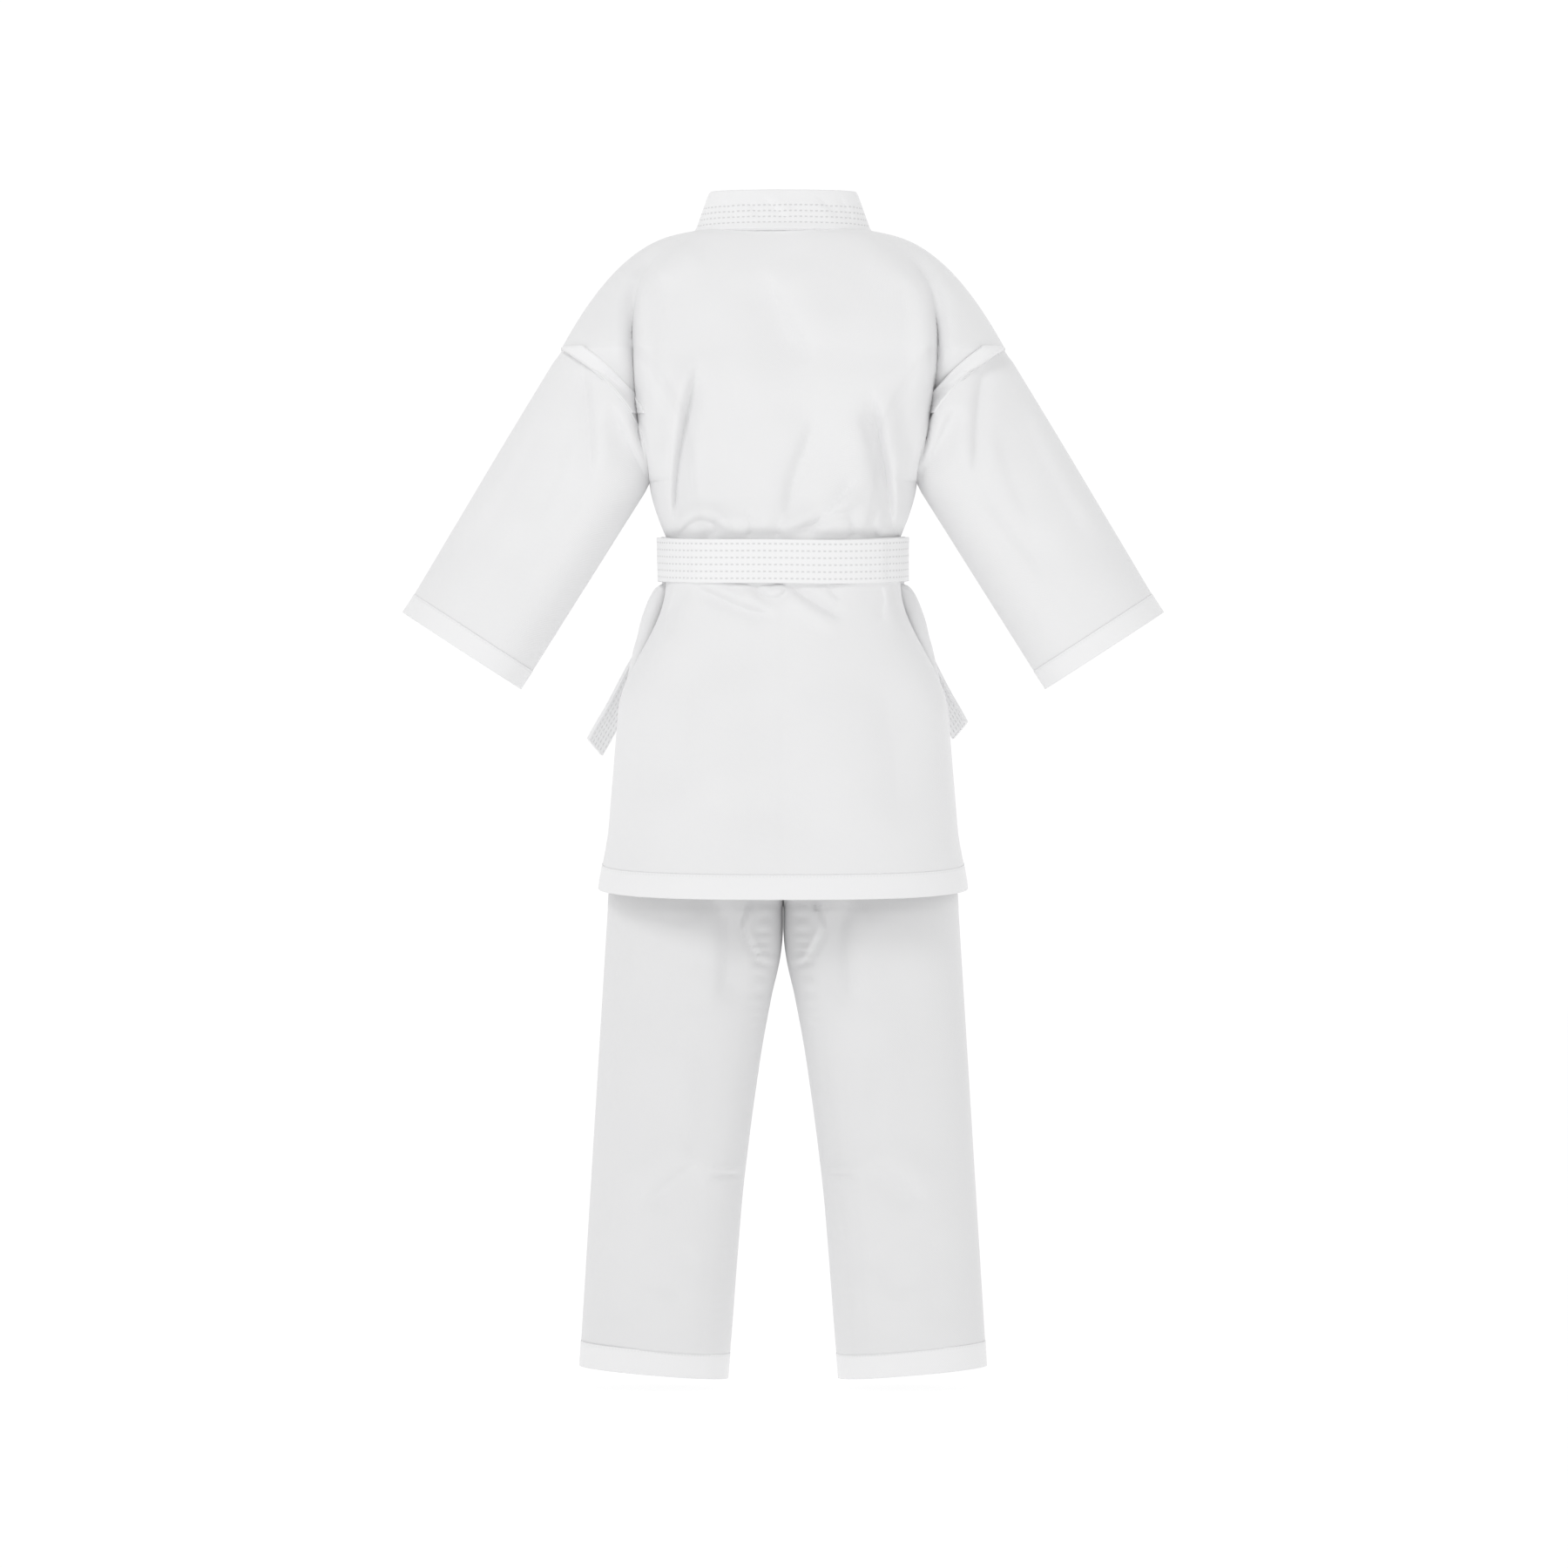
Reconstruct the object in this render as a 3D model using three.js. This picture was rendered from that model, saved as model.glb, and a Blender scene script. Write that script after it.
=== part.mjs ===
// Child's martial arts uniform: wrap jacket, knotted belt and wide trousers, hanging as if worn.
// Millimetres. The wearer faces -Y, +Z is up, and +X is the wearer's left.
// The origin is the middle of the neck opening, level with the foot of the collar.
import * as THREE from 'three';

// ---- cloth and gaps ----
const CLOTH = 2;               // jacket and trouser cloth
const BAND = 4;                // quilted collar and lapel band
const HEM = 3;                 // turned and stitched hem
const TAPE = 1.2;              // seam tape
const BELT_PLY = 3;            // one wrap of the belt
const SEAM_GAP = 0.5;          // between pieces that are sewn edge to edge
const LAYER_GAP = 0.6;         // between pieces that lie on each other

// ---- jacket, above the belt ----
const NECK_HALF = 83;          // half width at the foot of the collar
const NECK_DEPTH = 55;
const NECK_ARCH = 3;           // rise of the back neckline at the middle
const FRONT_NECK_DROP = 60;    // slope of the shoulders towards the front
const SHOULDER_HALF = 213;     // to the top of the sleeve seam
const SHOULDER_DROP = 112;
const SHOULDER_CURVE = 2.2;
const CHEST_DEPTH = 95;
const CHEST_LEVEL = 170;
const UNDERARM_HALF = 128;
const UNDERARM_DROP = 242;
const WAIST_HALF = 112;
const WAIST_DEPTH = 89;
const ROUNDNESS = 2.4;         // superellipse exponent of the level sections
const ARMHOLE_DEPTH = 58;
const ARMHOLE_PULL_X = 84;     // how far the sleeve seam bows in towards the back
const ARMHOLE_PULL_Z = 55;

// ---- collar and lapels ----
const COLLAR_HEIGHT = 36;
const COLLAR_LEAN = 13;
const COLLAR_BACK_LEAN = 11;
const LAPEL_WIDTH = 38;
const LAPEL_CROSSING = 190;    // level where the outer edge of the lapel reaches the middle
const LAPEL_AT_BELT = 48;      // how far past the middle it ends at the belt
const LAPEL_AT_HEM = 70;
const LAPEL_TURN = 95;         // drop over which the standing collar lies down

// ---- sleeves ----
const CUFF_OUTER_X = 366;
const CUFF_OUTER_Z = -368;
const CUFF_WIDTH = 134;
const CUFF_TILT = THREE.MathUtils.degToRad(33);
const CUFF_DEPTH = 56;
const SLEEVE_HEM = 20;
const SLEEVE_GAP = 0.8;        // between a panel and the sleeve, so that the sleeve can rise
const UNDERARM_CLEARANCE = 5;

// ---- belt ----
const BELT_TOP = -295;
const BELT_WIDTH = 42;
const KNOT_WIDTH = 53;
const KNOT_HEIGHT = 45;
const KNOT_DEPTH = 22;
const TAIL_DROP = 181;         // from the knot down to the tip
const TAIL_REACH = 157;        // from the knot sideways to the tip
const TAIL_BEND = 62;          // how far out the tail turns down
const TAIL_TIP_Y = -72;
const TAIL_FORWARD = 7;        // clearance of the tails in front of the skirt
const TAIL_WIDTH = 40;

// ---- jacket, below the belt ----
const SKIRT_BOTTOM = -632;     // at the side slits
const SKIRT_SAG = 11;          // the hem hangs lower at the middle
const SKIRT_HALF = 177;        // half width at the hem
const SKIRT_BACK_DEPTH = 126;
const SKIRT_FRONT_DEPTH = 120;
const SKIRT_BULGE_BACK = 18;   // fullness a little below the belt, over a straight flare
const SKIRT_BULGE_FRONT = 24;
const SKIRT_HEM = 22;
const SKIRT_ROUNDNESS = 2.7;
const SLIT = 1.2;

// ---- trousers ----
const WAISTBAND_PLY = 2.4;
const ELASTIC_PLY = 1.6;
const ELASTIC_WIDTH = 30;
const HIP_HALF = 158;
const HIP_DEPTH = 88;
const HIP_LEVEL = -590;
const FORK_START = -560;       // the seat seam starts to turn under here
const CROTCH = -655;
const THIGH_OUTER = 168;
const THIGH_INNER = 4;
const THIGH_DEPTH = 72;
const LEG_HEM_OUTER = 195;
const LEG_HEM_INNER = 54;
const LEG_HEM_DEPTH = 62;
const LEG_BOTTOM = -1093;
const LEG_TILT = 12;           // the hem hangs lower on the inside
const LEG_HEM = 23;
const LEG_ROUNDNESS = 2.3;
const HIP_JOINT = -672;
const FORWARD_SWING = THREE.MathUtils.degToRad(35);
const BACKWARD_SWING = THREE.MathUtils.degToRad(20);
const GUSSET_HALF = 15;
const GUSSET_LENGTH = 86;
const GUSSET_END = 3.7 - CLOTH / 2;  // half width of its two points, clear of the seat
const GUSSET_LIFT = 2 * CLOTH;       // above the turned edges of the seat
const INSEAM_TAPE_WIDTH = 11;

// ---- levels and offsets that follow from the sizes ----
const BELT_BOTTOM = BELT_TOP - BELT_WIDTH;
const JACKET_LIP = BELT_BOTTOM - 3.6;
const SKIRT_TOP = JACKET_LIP - 0.8;
const UNDER_LAYER = BAND + LAYER_GAP + 0.8;
const WAISTBAND_IN = UNDER_LAYER + BAND / 2 + LAYER_GAP + WAISTBAND_PLY / 2;
const ELASTIC_IN = WAISTBAND_IN + WAISTBAND_PLY / 2 + LAYER_GAP + ELASTIC_PLY / 2;
const WRAP_OUT = BAND / 2 + LAYER_GAP + 0.5 + BELT_PLY / 2;
const OUTER_WRAP_OUT = WRAP_OUT + BELT_PLY + LAYER_GAP;
const COLLAR_LIFT = CLOTH / 2 + SEAM_GAP;

const WHITE_CLOTH = 0xe4e5e8;
const WHITE_DOUBLE = 0xf0f0f2;
const WHITE_BELT = 0xf4f4f5;

const group = new THREE.Group();
const { lerp, smoothstep, clamp } = THREE.MathUtils;
const V = (x, y, z) => new THREE.Vector3(x, y, z);

// ---------------------------------------------------------------- solids

// Outward normals of a grid of points, from its neighbours. Outward is away from the middle of
// each ring, or on an open sheet away from the Z axis.
function gridNormals(points, closed, fix) {
  const rows = points.length;
  const cols = points[0].length;
  const along = new THREE.Vector3();
  const across = new THREE.Vector3();
  let away = 0;
  const normals = points.map((row, i) => {
    const middle = closed ? row.reduce((sum, p) => sum.add(p), V(0, 0, 0)).divideScalar(cols) : null;
    return row.map((p, j) => {
      const left = closed ? row[(j + cols - 1) % cols] : row[Math.max(j - 1, 0)];
      const right = closed ? row[(j + 1) % cols] : row[Math.min(j + 1, cols - 1)];
      along.subVectors(points[Math.min(i + 1, rows - 1)][j], points[Math.max(i - 1, 0)][j]);
      across.subVectors(right, left);
      const n = new THREE.Vector3().crossVectors(across, along).normalize();
      away += n.dot(p.clone().sub(middle ?? V(0, 0, p.z)));
      return n;
    });
  });
  normals.forEach((row, i) => row.forEach((n, j) => {
    if (away < 0) {
      n.negate();
    }
    if (fix) {
      fix(n, i, j, rows, cols);
    }
  }));
  return normals;
}

// Closed solid between two offset copies of a grid; closed grids wrap round in the second index.
function sheet(points, thickness, { closed = false, offset = 0, fix = null, given = null } = {}) {
  const rows = points.length;
  const cols = points[0].length;
  const normals = given ?? gridNormals(points, closed, fix);
  const position = [];
  for (const side of [0.5, -0.5]) {
    points.forEach((row, i) => row.forEach((p, j) => {
      const shift = (typeof offset === 'function' ? offset(i, j, p) : offset) + side * thickness;
      position.push(...p.clone().addScaledVector(normals[i][j], shift).toArray());
    }));
  }
  const count = rows * cols;
  const at = (i, j) => i * cols + (j % cols);
  const spans = closed ? cols : cols - 1;
  const index = [];
  const quad = (a, b, c, d) => index.push(a, b, c, a, c, d);
  for (let i = 0; i < rows - 1; i += 1) {
    for (let j = 0; j < spans; j += 1) {
      quad(at(i, j), at(i + 1, j), at(i + 1, j + 1), at(i, j + 1));
      quad(count + at(i, j), count + at(i, j + 1), count + at(i + 1, j + 1), count + at(i + 1, j));
    }
  }
  for (let j = 0; j < spans; j += 1) {
    quad(at(0, j), at(0, j + 1), count + at(0, j + 1), count + at(0, j));
    const k = rows - 1;
    quad(at(k, j), count + at(k, j), count + at(k, j + 1), at(k, j + 1));
  }
  if (!closed) {
    for (let i = 0; i < rows - 1; i += 1) {
      const k = cols - 1;
      quad(at(i, 0), count + at(i, 0), count + at(i + 1, 0), at(i + 1, 0));
      quad(at(i, k), at(i + 1, k), count + at(i + 1, k), count + at(i, k));
    }
  }
  return outward(position, index);
}

// Turns the faces outward if the enclosed volume comes out negative.
function outward(position, index) {
  let volume = 0;
  const corner = (k) => V(position[3 * k], position[3 * k + 1], position[3 * k + 2]);
  for (let k = 0; k < index.length; k += 3) {
    const [a, b, c] = [corner(index[k]), corner(index[k + 1]), corner(index[k + 2])];
    volume += a.dot(b.cross(c)) / 6;
  }
  if (volume < 0) {
    for (let k = 0; k < index.length; k += 3) {
      [index[k + 1], index[k + 2]] = [index[k + 2], index[k + 1]];
    }
  }
  const geometry = new THREE.BufferGeometry();
  geometry.setAttribute('position', new THREE.Float32BufferAttribute(position, 3));
  geometry.setIndex(index);
  geometry.computeVertexNormals();
  return geometry;
}

function add(name, geometry, color = WHITE_CLOTH, roughness = 0.9) {
  const material = new THREE.MeshStandardMaterial({ color, roughness, metalness: 0 });
  const mesh = new THREE.Mesh(geometry, material);
  mesh.name = name;
  group.add(mesh);
  return mesh;
}

// Grid of points from a function of two numbers.
const grid = (us, vs, point) => us.map((u) => vs.map((v) => point(u, v)));
const steps = (n, from = 0, to = 1) => Array.from({ length: n + 1 }, (_, k) => lerp(from, to, k / n));
const ring = (n) => Array.from({ length: n }, (_, k) => (2 * Math.PI * k) / n);

// ---------------------------------------------------------------- jacket surface

const power = (value, exponent) => Math.sign(value) * Math.abs(value) ** exponent;

// The sleeve seam in side elevation runs from the shoulder point to the underarm point.
function armhole(phi) {
  const t = (1 - Math.cos(phi)) / 2;
  const midX = SHOULDER_HALF - ARMHOLE_PULL_X;
  const midZ = -SHOULDER_DROP - ARMHOLE_PULL_Z;
  const blend = (a, b, c) => (1 - t) ** 2 * a + 2 * t * (1 - t) * b + t * t * c;
  const x = blend(SHOULDER_HALF, midX, UNDERARM_HALF);
  const z = blend(-SHOULDER_DROP, midZ, -UNDERARM_DROP);
  return V(x, ARMHOLE_DEPTH * Math.sin(phi), z);
}

// Outer edge of a body panel: v 0..1 over the shoulder, 1..2 round the armhole,
// 2..2.6 down the side to the belt and 2.6..3 behind the belt to the lip.
function panelEdge(v) {
  if (v <= 1) {
    const x = lerp(NECK_HALF, SHOULDER_HALF, v);
    return { x, y: 0, z: -SHOULDER_DROP * v ** SHOULDER_CURVE, gentle: smoothstep(v, 0.5, 1) / 2 };
  }
  if (v <= 2) {
    const phi = Math.PI * (v - 1);
    const p = armhole(phi);
    const gentle = Math.max(Math.sin(phi), v < 1.5 ? (1 + Math.sin(phi)) / 2 : 0);
    return { x: p.x, y: Math.max(p.y, 0), z: p.z, gentle };
  }
  if (v <= 2.6) {
    const q = (v - 2) / 0.6;
    const x = UNDERARM_HALF - (UNDERARM_HALF - WAIST_HALF) * q ** 1.5;
    return { x, y: 0, z: lerp(-UNDERARM_DROP, BELT_TOP, q), gentle: 0 };
  }
  return { x: WAIST_HALF, y: 0, z: lerp(BELT_TOP, JACKET_LIP, (v - 2.6) / 0.4), gentle: 0 };
}

function torsoDepth(z) {
  const upper = Math.sin((Math.PI / 2) * clamp(-z / CHEST_LEVEL, 0, 1)) ** 0.75;
  const lower = smoothstep(-z, CHEST_LEVEL, -BELT_TOP);
  return lerp(lerp(NECK_DEPTH, CHEST_DEPTH, upper), WAIST_DEPTH, lower);
}

// Point of the jacket above the belt: side +1 is the back, -1 the front; angle -90..90 degrees.
function torsoPoint(side, angle, v) {
  const edge = panelEdge(v);
  const s = power(Math.sin(angle), 2 / ROUNDNESS);
  const round = Math.max(Math.cos(angle), 0) ** (2 / ROUNDNESS);
  const f = lerp(round, 1 - Math.abs(s) ** 2.2, edge.gentle);
  const slope = Math.max(0, 1 + edge.z / UNDERARM_DROP);
  const middle = side > 0 ? edge.z + NECK_ARCH * Math.max(0, 1 - v) : edge.z - FRONT_NECK_DROP * slope;
  const y = lerp(edge.y, torsoDepth(middle), f);
  return V(edge.x * s, side * (y + SEAM_GAP / 2), lerp(edge.z, middle, f));
}

const angleOf = (s) => Math.asin(clamp(power(clamp(s, -1, 1), ROUNDNESS / 2), -1, 1));

// Place on the front surface that shows at x, z in front elevation.
function locateFront(x, z) {
  let low = 0;
  let high = 3;
  for (let k = 0; k < 40; k += 1) {
    const v = (low + high) / 2;
    const { x: half } = panelEdge(v);
    const over = Math.abs(x) > half;
    if (over && v < 1) {
      low = v;
    } else if (torsoPoint(-1, angleOf(x / half), v).z > z) {
      low = v;
    } else {
      high = v;
    }
  }
  const v = (low + high) / 2;
  return { angle: angleOf(x / panelEdge(v).x), v };
}

// Outer edge of the wearer's left lapel in front elevation, down to the belt.
function lapelLine(z) {
  const upper = NECK_HALF * (1 + z / LAPEL_CROSSING);
  const below = (-z - LAPEL_CROSSING) / (-JACKET_LIP - LAPEL_CROSSING);
  return -z < LAPEL_CROSSING ? upper : -LAPEL_AT_BELT * below ** 0.9;
}

// The right front lies under the left one, and comes out to its own side seam and shoulder.
const underLayer = (s) => -UNDER_LAYER * smoothstep(1 - Math.abs(s), 0.02, 0.14);
// Angles of the last columns of every body panel, next to its edge.
const EDGE_ANGLES = [67.5, 78.75, 90].map(THREE.MathUtils.degToRad);

// The right front and its lapel slip under the left ones between these drops.
const tuck = (z) => smoothstep(-z, 20, 120);

// Extra room between the lapel and its panel where the collar turns over the shoulder.
const turnRoom = (z) => 1 - smoothstep(-z, 40, 80);

// On the upper part of the sleeve seam the panel ends square to the sleeve.
function squareToSleeve(n, v, side, front) {
  const phi = Math.PI * (v - 1);
  if (phi >= 0 && phi < 1.2) {
    n.set(side * Math.cos(CUFF_TILT) * Math.cos(phi), front * Math.sin(phi), Math.sin(CUFF_TILT) * Math.cos(phi));
    n.normalize();
  }
}

const flatY = (n) => n.setY(0).normalize();
const flatX = (n) => n.setX(0).normalize();

// ---------------------------------------------------------------- jacket back

const shoulderRows = [0, 0.06, 0.16, 0.3, 0.46, 0.64, 0.82];
const panelRows = [...shoulderRows, ...steps(8, 1, 2), ...steps(1, 2.3, 2.6), 3];
const armholeRows = [shoulderRows.length + 2, shoulderRows.length + 8];
const isSeamRow = (v) => v <= 1 || v >= 2;

// Tape sewn along the sleeve seam, parallel to the panel that carries it.
function armholeTape(points, normals, cols, layer = () => 0) {
  const part = (rows) => rows.slice(...armholeRows).map((row) => cols.map((j) => row.at(j)));
  const lift = CLOTH / 2 + LAYER_GAP + 0.2 + TAPE / 2;
  const offset = (i, j) => lift + layer(i + armholeRows[0], (cols[j] + points[0].length) % points[0].length);
  return sheet(part(points), TAPE, { given: part(normals), offset });
}

const backAngles = steps(16, -Math.PI / 2, Math.PI / 2);
const backPoints = grid(panelRows, backAngles, (v, a) => torsoPoint(1, a, v));
const backNormals = gridNormals(backPoints, false, (n, i, j, rows, cols) => {
  if (j === 0 || j === cols - 1) {
    squareToSleeve(n, panelRows[i], Math.sign(j - 1), 1);
    if (isSeamRow(panelRows[i])) {
      flatY(n);
    }
  }
});
add('back_panel', sheet(backPoints, CLOTH, { given: backNormals }));
add('left_back_armhole_tape', armholeTape(backPoints, backNormals, [-3, -2]), WHITE_DOUBLE);
add('right_back_armhole_tape', armholeTape(backPoints, backNormals, [1, 2]), WHITE_DOUBLE);

// ---------------------------------------------------------------- jacket fronts

function frontPanel(name, side, under) {
  const rows = panelRows.map((v, k) => {
    const z = lerp(-3, JACKET_LIP, (k / (panelRows.length - 1)) ** 1.05);
    const inner = locateFront(lapelLine(z) + SEAM_GAP + 2 * turnRoom(z), z);
    return { v: Math.max(v, 0.004), inner };
  });
  const [edgeStart] = EDGE_ANGLES;
  // The columns run evenly from the lapel to the edge columns that all panels share.
  const columns = rows.map(({ v, inner }) => {
    const start = Math.min(inner.angle, edgeStart - 0.1);
    const free = steps(7).map((u) => [lerp(start, edgeStart, u), lerp(inner.v, v, u * 0.8)]);
    free[0][0] = inner.angle;
    free[7][1] = lerp(inner.v, v, 0.9);
    return [...free, [EDGE_ANGLES[1], lerp(inner.v, v, 0.97)], [EDGE_ANGLES[2], v]];
  });
  columns.forEach((row, i) => {
    if (i > 0) {
      row[7][1] = rows[i].v;
      row[8][1] = rows[i].v;
    }
  });
  const points = columns.map((row) => row.map(([angle, v]) => {
    const p = torsoPoint(-1, angle, v);
    return V(side * p.x, p.y, p.z);
  }));
  points.at(-1).forEach((p) => p.setZ(JACKET_LIP));
  const normals = gridNormals(points, false, (n, i, j, count, cols) => {
    if (j === cols - 1) {
      squareToSleeve(n, panelRows[i], side, -1);
      if (isSeamRow(panelRows[i])) {
        flatY(n);
      }
    }
  });
  const offset = (i, j) => (under ? underLayer(power(Math.sin(columns[i][j][0]), 2 / ROUNDNESS))
    * tuck(points[i][j].z) : 0);
  add(`${name}_front_panel`, sheet(points, CLOTH, { given: normals, offset }));
  add(`${name}_front_armhole_tape`, armholeTape(points, normals, [-3, -2], offset), WHITE_DOUBLE);
}
frontPanel('left', 1, false);
frontPanel('right', -1, true);

// ---------------------------------------------------------------- collar and lapels

function collar() {
  const points = grid(steps(3), steps(16, -Math.PI / 2, Math.PI / 2), (w, a) => {
    const s = power(Math.sin(a), 2 / ROUNDNESS);
    const c = Math.max(Math.cos(a), 0) ** (2 / ROUNDNESS);
    const x = (NECK_HALF - COLLAR_LEAN * w) * s;
    const y = (NECK_DEPTH - COLLAR_BACK_LEAN * w) * c + SEAM_GAP / 2;
    return V(x, y, COLLAR_LIFT + NECK_ARCH * c + COLLAR_HEIGHT * w);
  });
  const fix = (n, i, j, rows, cols) => {
    if (j === 0 || j === cols - 1) {
      flatY(n);
    }
    if (i === 0) {
      n.setZ(0).normalize();
    }
  };
  return sheet(points, BAND, { fix });
}
add('collar_neck', collar(), WHITE_DOUBLE);

// Room between a lapel and the panel it is sewn to, more where the collar turns over the shoulder.
const lapelRoom = (z) => 2 * SEAM_GAP + 2.8 * turnRoom(z);

// A lapel stands up beside the neck, lies down on the chest and runs to the belt.
function lapel(side, under) {
  const levels = [0, -2, -8, -17, -30, -46, -66, -90, ...steps(9, -115, JACKET_LIP)];
  const stand = V(-COLLAR_LEAN, 0, COLLAR_HEIGHT).normalize();
  const edge = levels.map((z, k) => {
    if (k === 0) {
      return V(NECK_HALF, -SEAM_GAP / 2, COLLAR_LIFT);
    }
    const place = locateFront(lapelLine(z) - lapelRoom(z), z);
    const p = torsoPoint(-1, place.angle, place.v);
    return p.setZ(p.z + COLLAR_LIFT * (1 - smoothstep(-z, 0, LAPEL_TURN)));
  });
  const points = levels.map((z, k) => {
    const lie = smoothstep(-z, 0, LAPEL_TURN);
    const line = new THREE.Vector3().subVectors(edge[Math.min(k + 1, edge.length - 1)],
      edge[Math.max(k - 1, 0)]).normalize();
    const up = k === 0 ? stand.clone() : stand.clone().addScaledVector(line, -stand.dot(line)).normalize();
    return steps(4).map((w) => {
      const place = locateFront(lapelLine(z) - lapelRoom(z) - w * LAPEL_WIDTH * 1.08, z);
      const flat = torsoPoint(-1, place.angle, place.v).sub(edge[k]);
      const rise = up.clone().multiplyScalar(w * LAPEL_WIDTH);
      const mixed = rise.clone().lerp(flat, lie);
      const length = lerp(rise.length(), Math.min(flat.length(), w * LAPEL_WIDTH * 1.12), lie);
      mixed.setLength(Math.max(length, 1e-6));
      const p = edge[k].clone().add(lie >= 1 ? flat : mixed);
      return V(side * p.x, p.y, p.z);
    });
  });
  points[points.length - 1].forEach((p) => p.setZ(JACKET_LIP));
  const fix = (n, i) => {
    if (i === 0) {
      flatY(n);
    }
  };
  const offset = (i, j, p) => (under ? -UNDER_LAYER * tuck(p.z) : 0);
  return sheet(points, BAND, { fix, offset });
}
add('left_lapel', lapel(1, false), WHITE_DOUBLE);
add('right_lapel', lapel(-1, true), WHITE_DOUBLE);

// ---------------------------------------------------------------- sleeves

const sleeveAxis = V(Math.sin(CUFF_TILT), 0, -Math.cos(CUFF_TILT));

function cuffPoint(phi, back) {
  const across = V(Math.cos(CUFF_TILT), 0, Math.sin(CUFF_TILT));
  const centre = V(CUFF_OUTER_X, 0, CUFF_OUTER_Z).addScaledVector(across, -CUFF_WIDTH / 2);
  const p = centre.addScaledVector(across, (CUFF_WIDTH / 2) * power(Math.cos(phi), 0.9));
  p.setY(CUFF_DEPTH * power(Math.sin(phi), 0.9));
  return p.addScaledVector(sleeveAxis, -back);
}

function sleevePoint(phi, t) {
  const wrapped = phi > Math.PI ? 2 * Math.PI - phi : phi;
  const start = armhole(wrapped);
  start.setY(phi > Math.PI ? -start.y : start.y);
  const away = SLEEVE_GAP + UNDERARM_CLEARANCE * Math.sin(phi / 2) ** 0.5;
  start.addScaledVector(sleeveAxis, away);
  return start.lerp(cuffPoint(phi, SLEEVE_HEM + SEAM_GAP), t);
}

function mirror(points, side) {
  return points.map((row) => row.map((p) => V(side * p.x, p.y, p.z)));
}

for (const [name, side] of [['left', 1], ['right', -1]]) {
  const sleeve = grid([0, 0.12, 0.35, 0.65, 1], ring(16), (t, phi) => sleevePoint(phi, t));
  add(`${name}_sleeve`, sheet(mirror(sleeve, side), CLOTH, { closed: true }));
  const hem = grid(steps(1), ring(16), (t, phi) => cuffPoint(phi, SLEEVE_HEM * (1 - t)));
  add(`${name}_sleeve_hem`, sheet(mirror(hem, side), HEM, { closed: true }), WHITE_DOUBLE);
}

// ---------------------------------------------------------------- belt

function waistPoint(phi, z, out) {
  const x = (WAIST_HALF + out) * power(Math.cos(phi), 2 / ROUNDNESS);
  const y = (WAIST_DEPTH + SEAM_GAP / 2 + out) * power(Math.sin(phi), 2 / ROUNDNESS);
  return V(x, y, z);
}

function waistRing(top, bottom, out, ply, rows = 1) {
  return sheet(grid(steps(rows, top, bottom), ring(32), (z, phi) => waistPoint(phi, z, out)), ply,
    { closed: true, fix: (n) => n.setZ(0).normalize() });
}
add('belt_inner_wrap', waistRing(BELT_TOP - 1, BELT_BOTTOM - 1, WRAP_OUT, BELT_PLY), WHITE_BELT);
add('belt_outer_wrap', waistRing(BELT_TOP, BELT_BOTTOM, OUTER_WRAP_OUT, BELT_PLY), WHITE_BELT);

const KNOT_BACK = -(WAIST_DEPTH + OUTER_WRAP_OUT + BELT_PLY / 2 + LAYER_GAP);
const KNOT_LEVEL = BELT_TOP - BELT_WIDTH / 2;

// The knot is a rounded block with a flat back against the belt.
function knot() {
  const shape = new THREE.Shape();
  const corner = 12;
  const [w, h] = [KNOT_WIDTH / 2, KNOT_HEIGHT / 2];
  shape.moveTo(-w + corner, -h);
  shape.lineTo(w - corner, -h);
  shape.quadraticCurveTo(w, -h, w, -h + corner);
  shape.lineTo(w, h - corner);
  shape.quadraticCurveTo(w, h, w - corner, h);
  shape.lineTo(-w + corner, h);
  shape.quadraticCurveTo(-w, h, -w, h - corner);
  shape.lineTo(-w, -h + corner);
  shape.quadraticCurveTo(-w, -h, -w + corner, -h);
  const bevel = 5;
  const body = new THREE.ExtrudeGeometry(shape, {
    depth: KNOT_DEPTH - 2 * bevel,
    bevelThickness: bevel,
    bevelSize: bevel,
    bevelOffset: -bevel,
    bevelSegments: 2,
    curveSegments: 4,
  });
  body.rotateX(Math.PI / 2);
  return body;
}
const knotMesh = add('belt_knot', knot(), WHITE_BELT);
knotMesh.position.set(0, KNOT_BACK - 5, KNOT_LEVEL);

// ---------------------------------------------------------------- skirt

const skirtShare = (z) => clamp((SKIRT_TOP - z) / (SKIRT_TOP - SKIRT_BOTTOM), 0, 1.1);

// Level section of the skirt: the sides flare from the waist, fuller just below the belt.
function skirtSize(side, z) {
  const q = skirtShare(z);
  const bulge = side > 0 ? SKIRT_BULGE_BACK : SKIRT_BULGE_FRONT;
  const peak = side > 0 ? 0.38 : 0.22;
  const full = bulge * (q < peak ? Math.sin((Math.PI / 2) * (q / peak))
    : Math.cos((Math.PI / 2) * ((q - peak) / (1.1 - peak))));
  const depth = side > 0 ? SKIRT_BACK_DEPTH : SKIRT_FRONT_DEPTH;
  return {
    half: lerp(WAIST_HALF + 1, SKIRT_HALF, q) + full,
    depth: lerp(WAIST_DEPTH + 3, depth, q ** 0.9),
  };
}

function skirtPoint(side, angle, z, drop = 0) {
  const size = skirtSize(side, z);
  const s = power(Math.sin(angle), 2 / SKIRT_ROUNDNESS);
  const c = Math.max(Math.cos(angle), 0) ** (2 / SKIRT_ROUNDNESS);
  return V(size.half * s, side * (SLIT / 2 + size.depth * c), z - drop * SKIRT_SAG * c);
}

const HEM_TOP = SKIRT_BOTTOM + SKIRT_HEM;
const skirtRows = (bottom) => [0, 0.07, 0.2, 0.4, 0.7, 1].map((q) => lerp(SKIRT_TOP, bottom, q));

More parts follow.
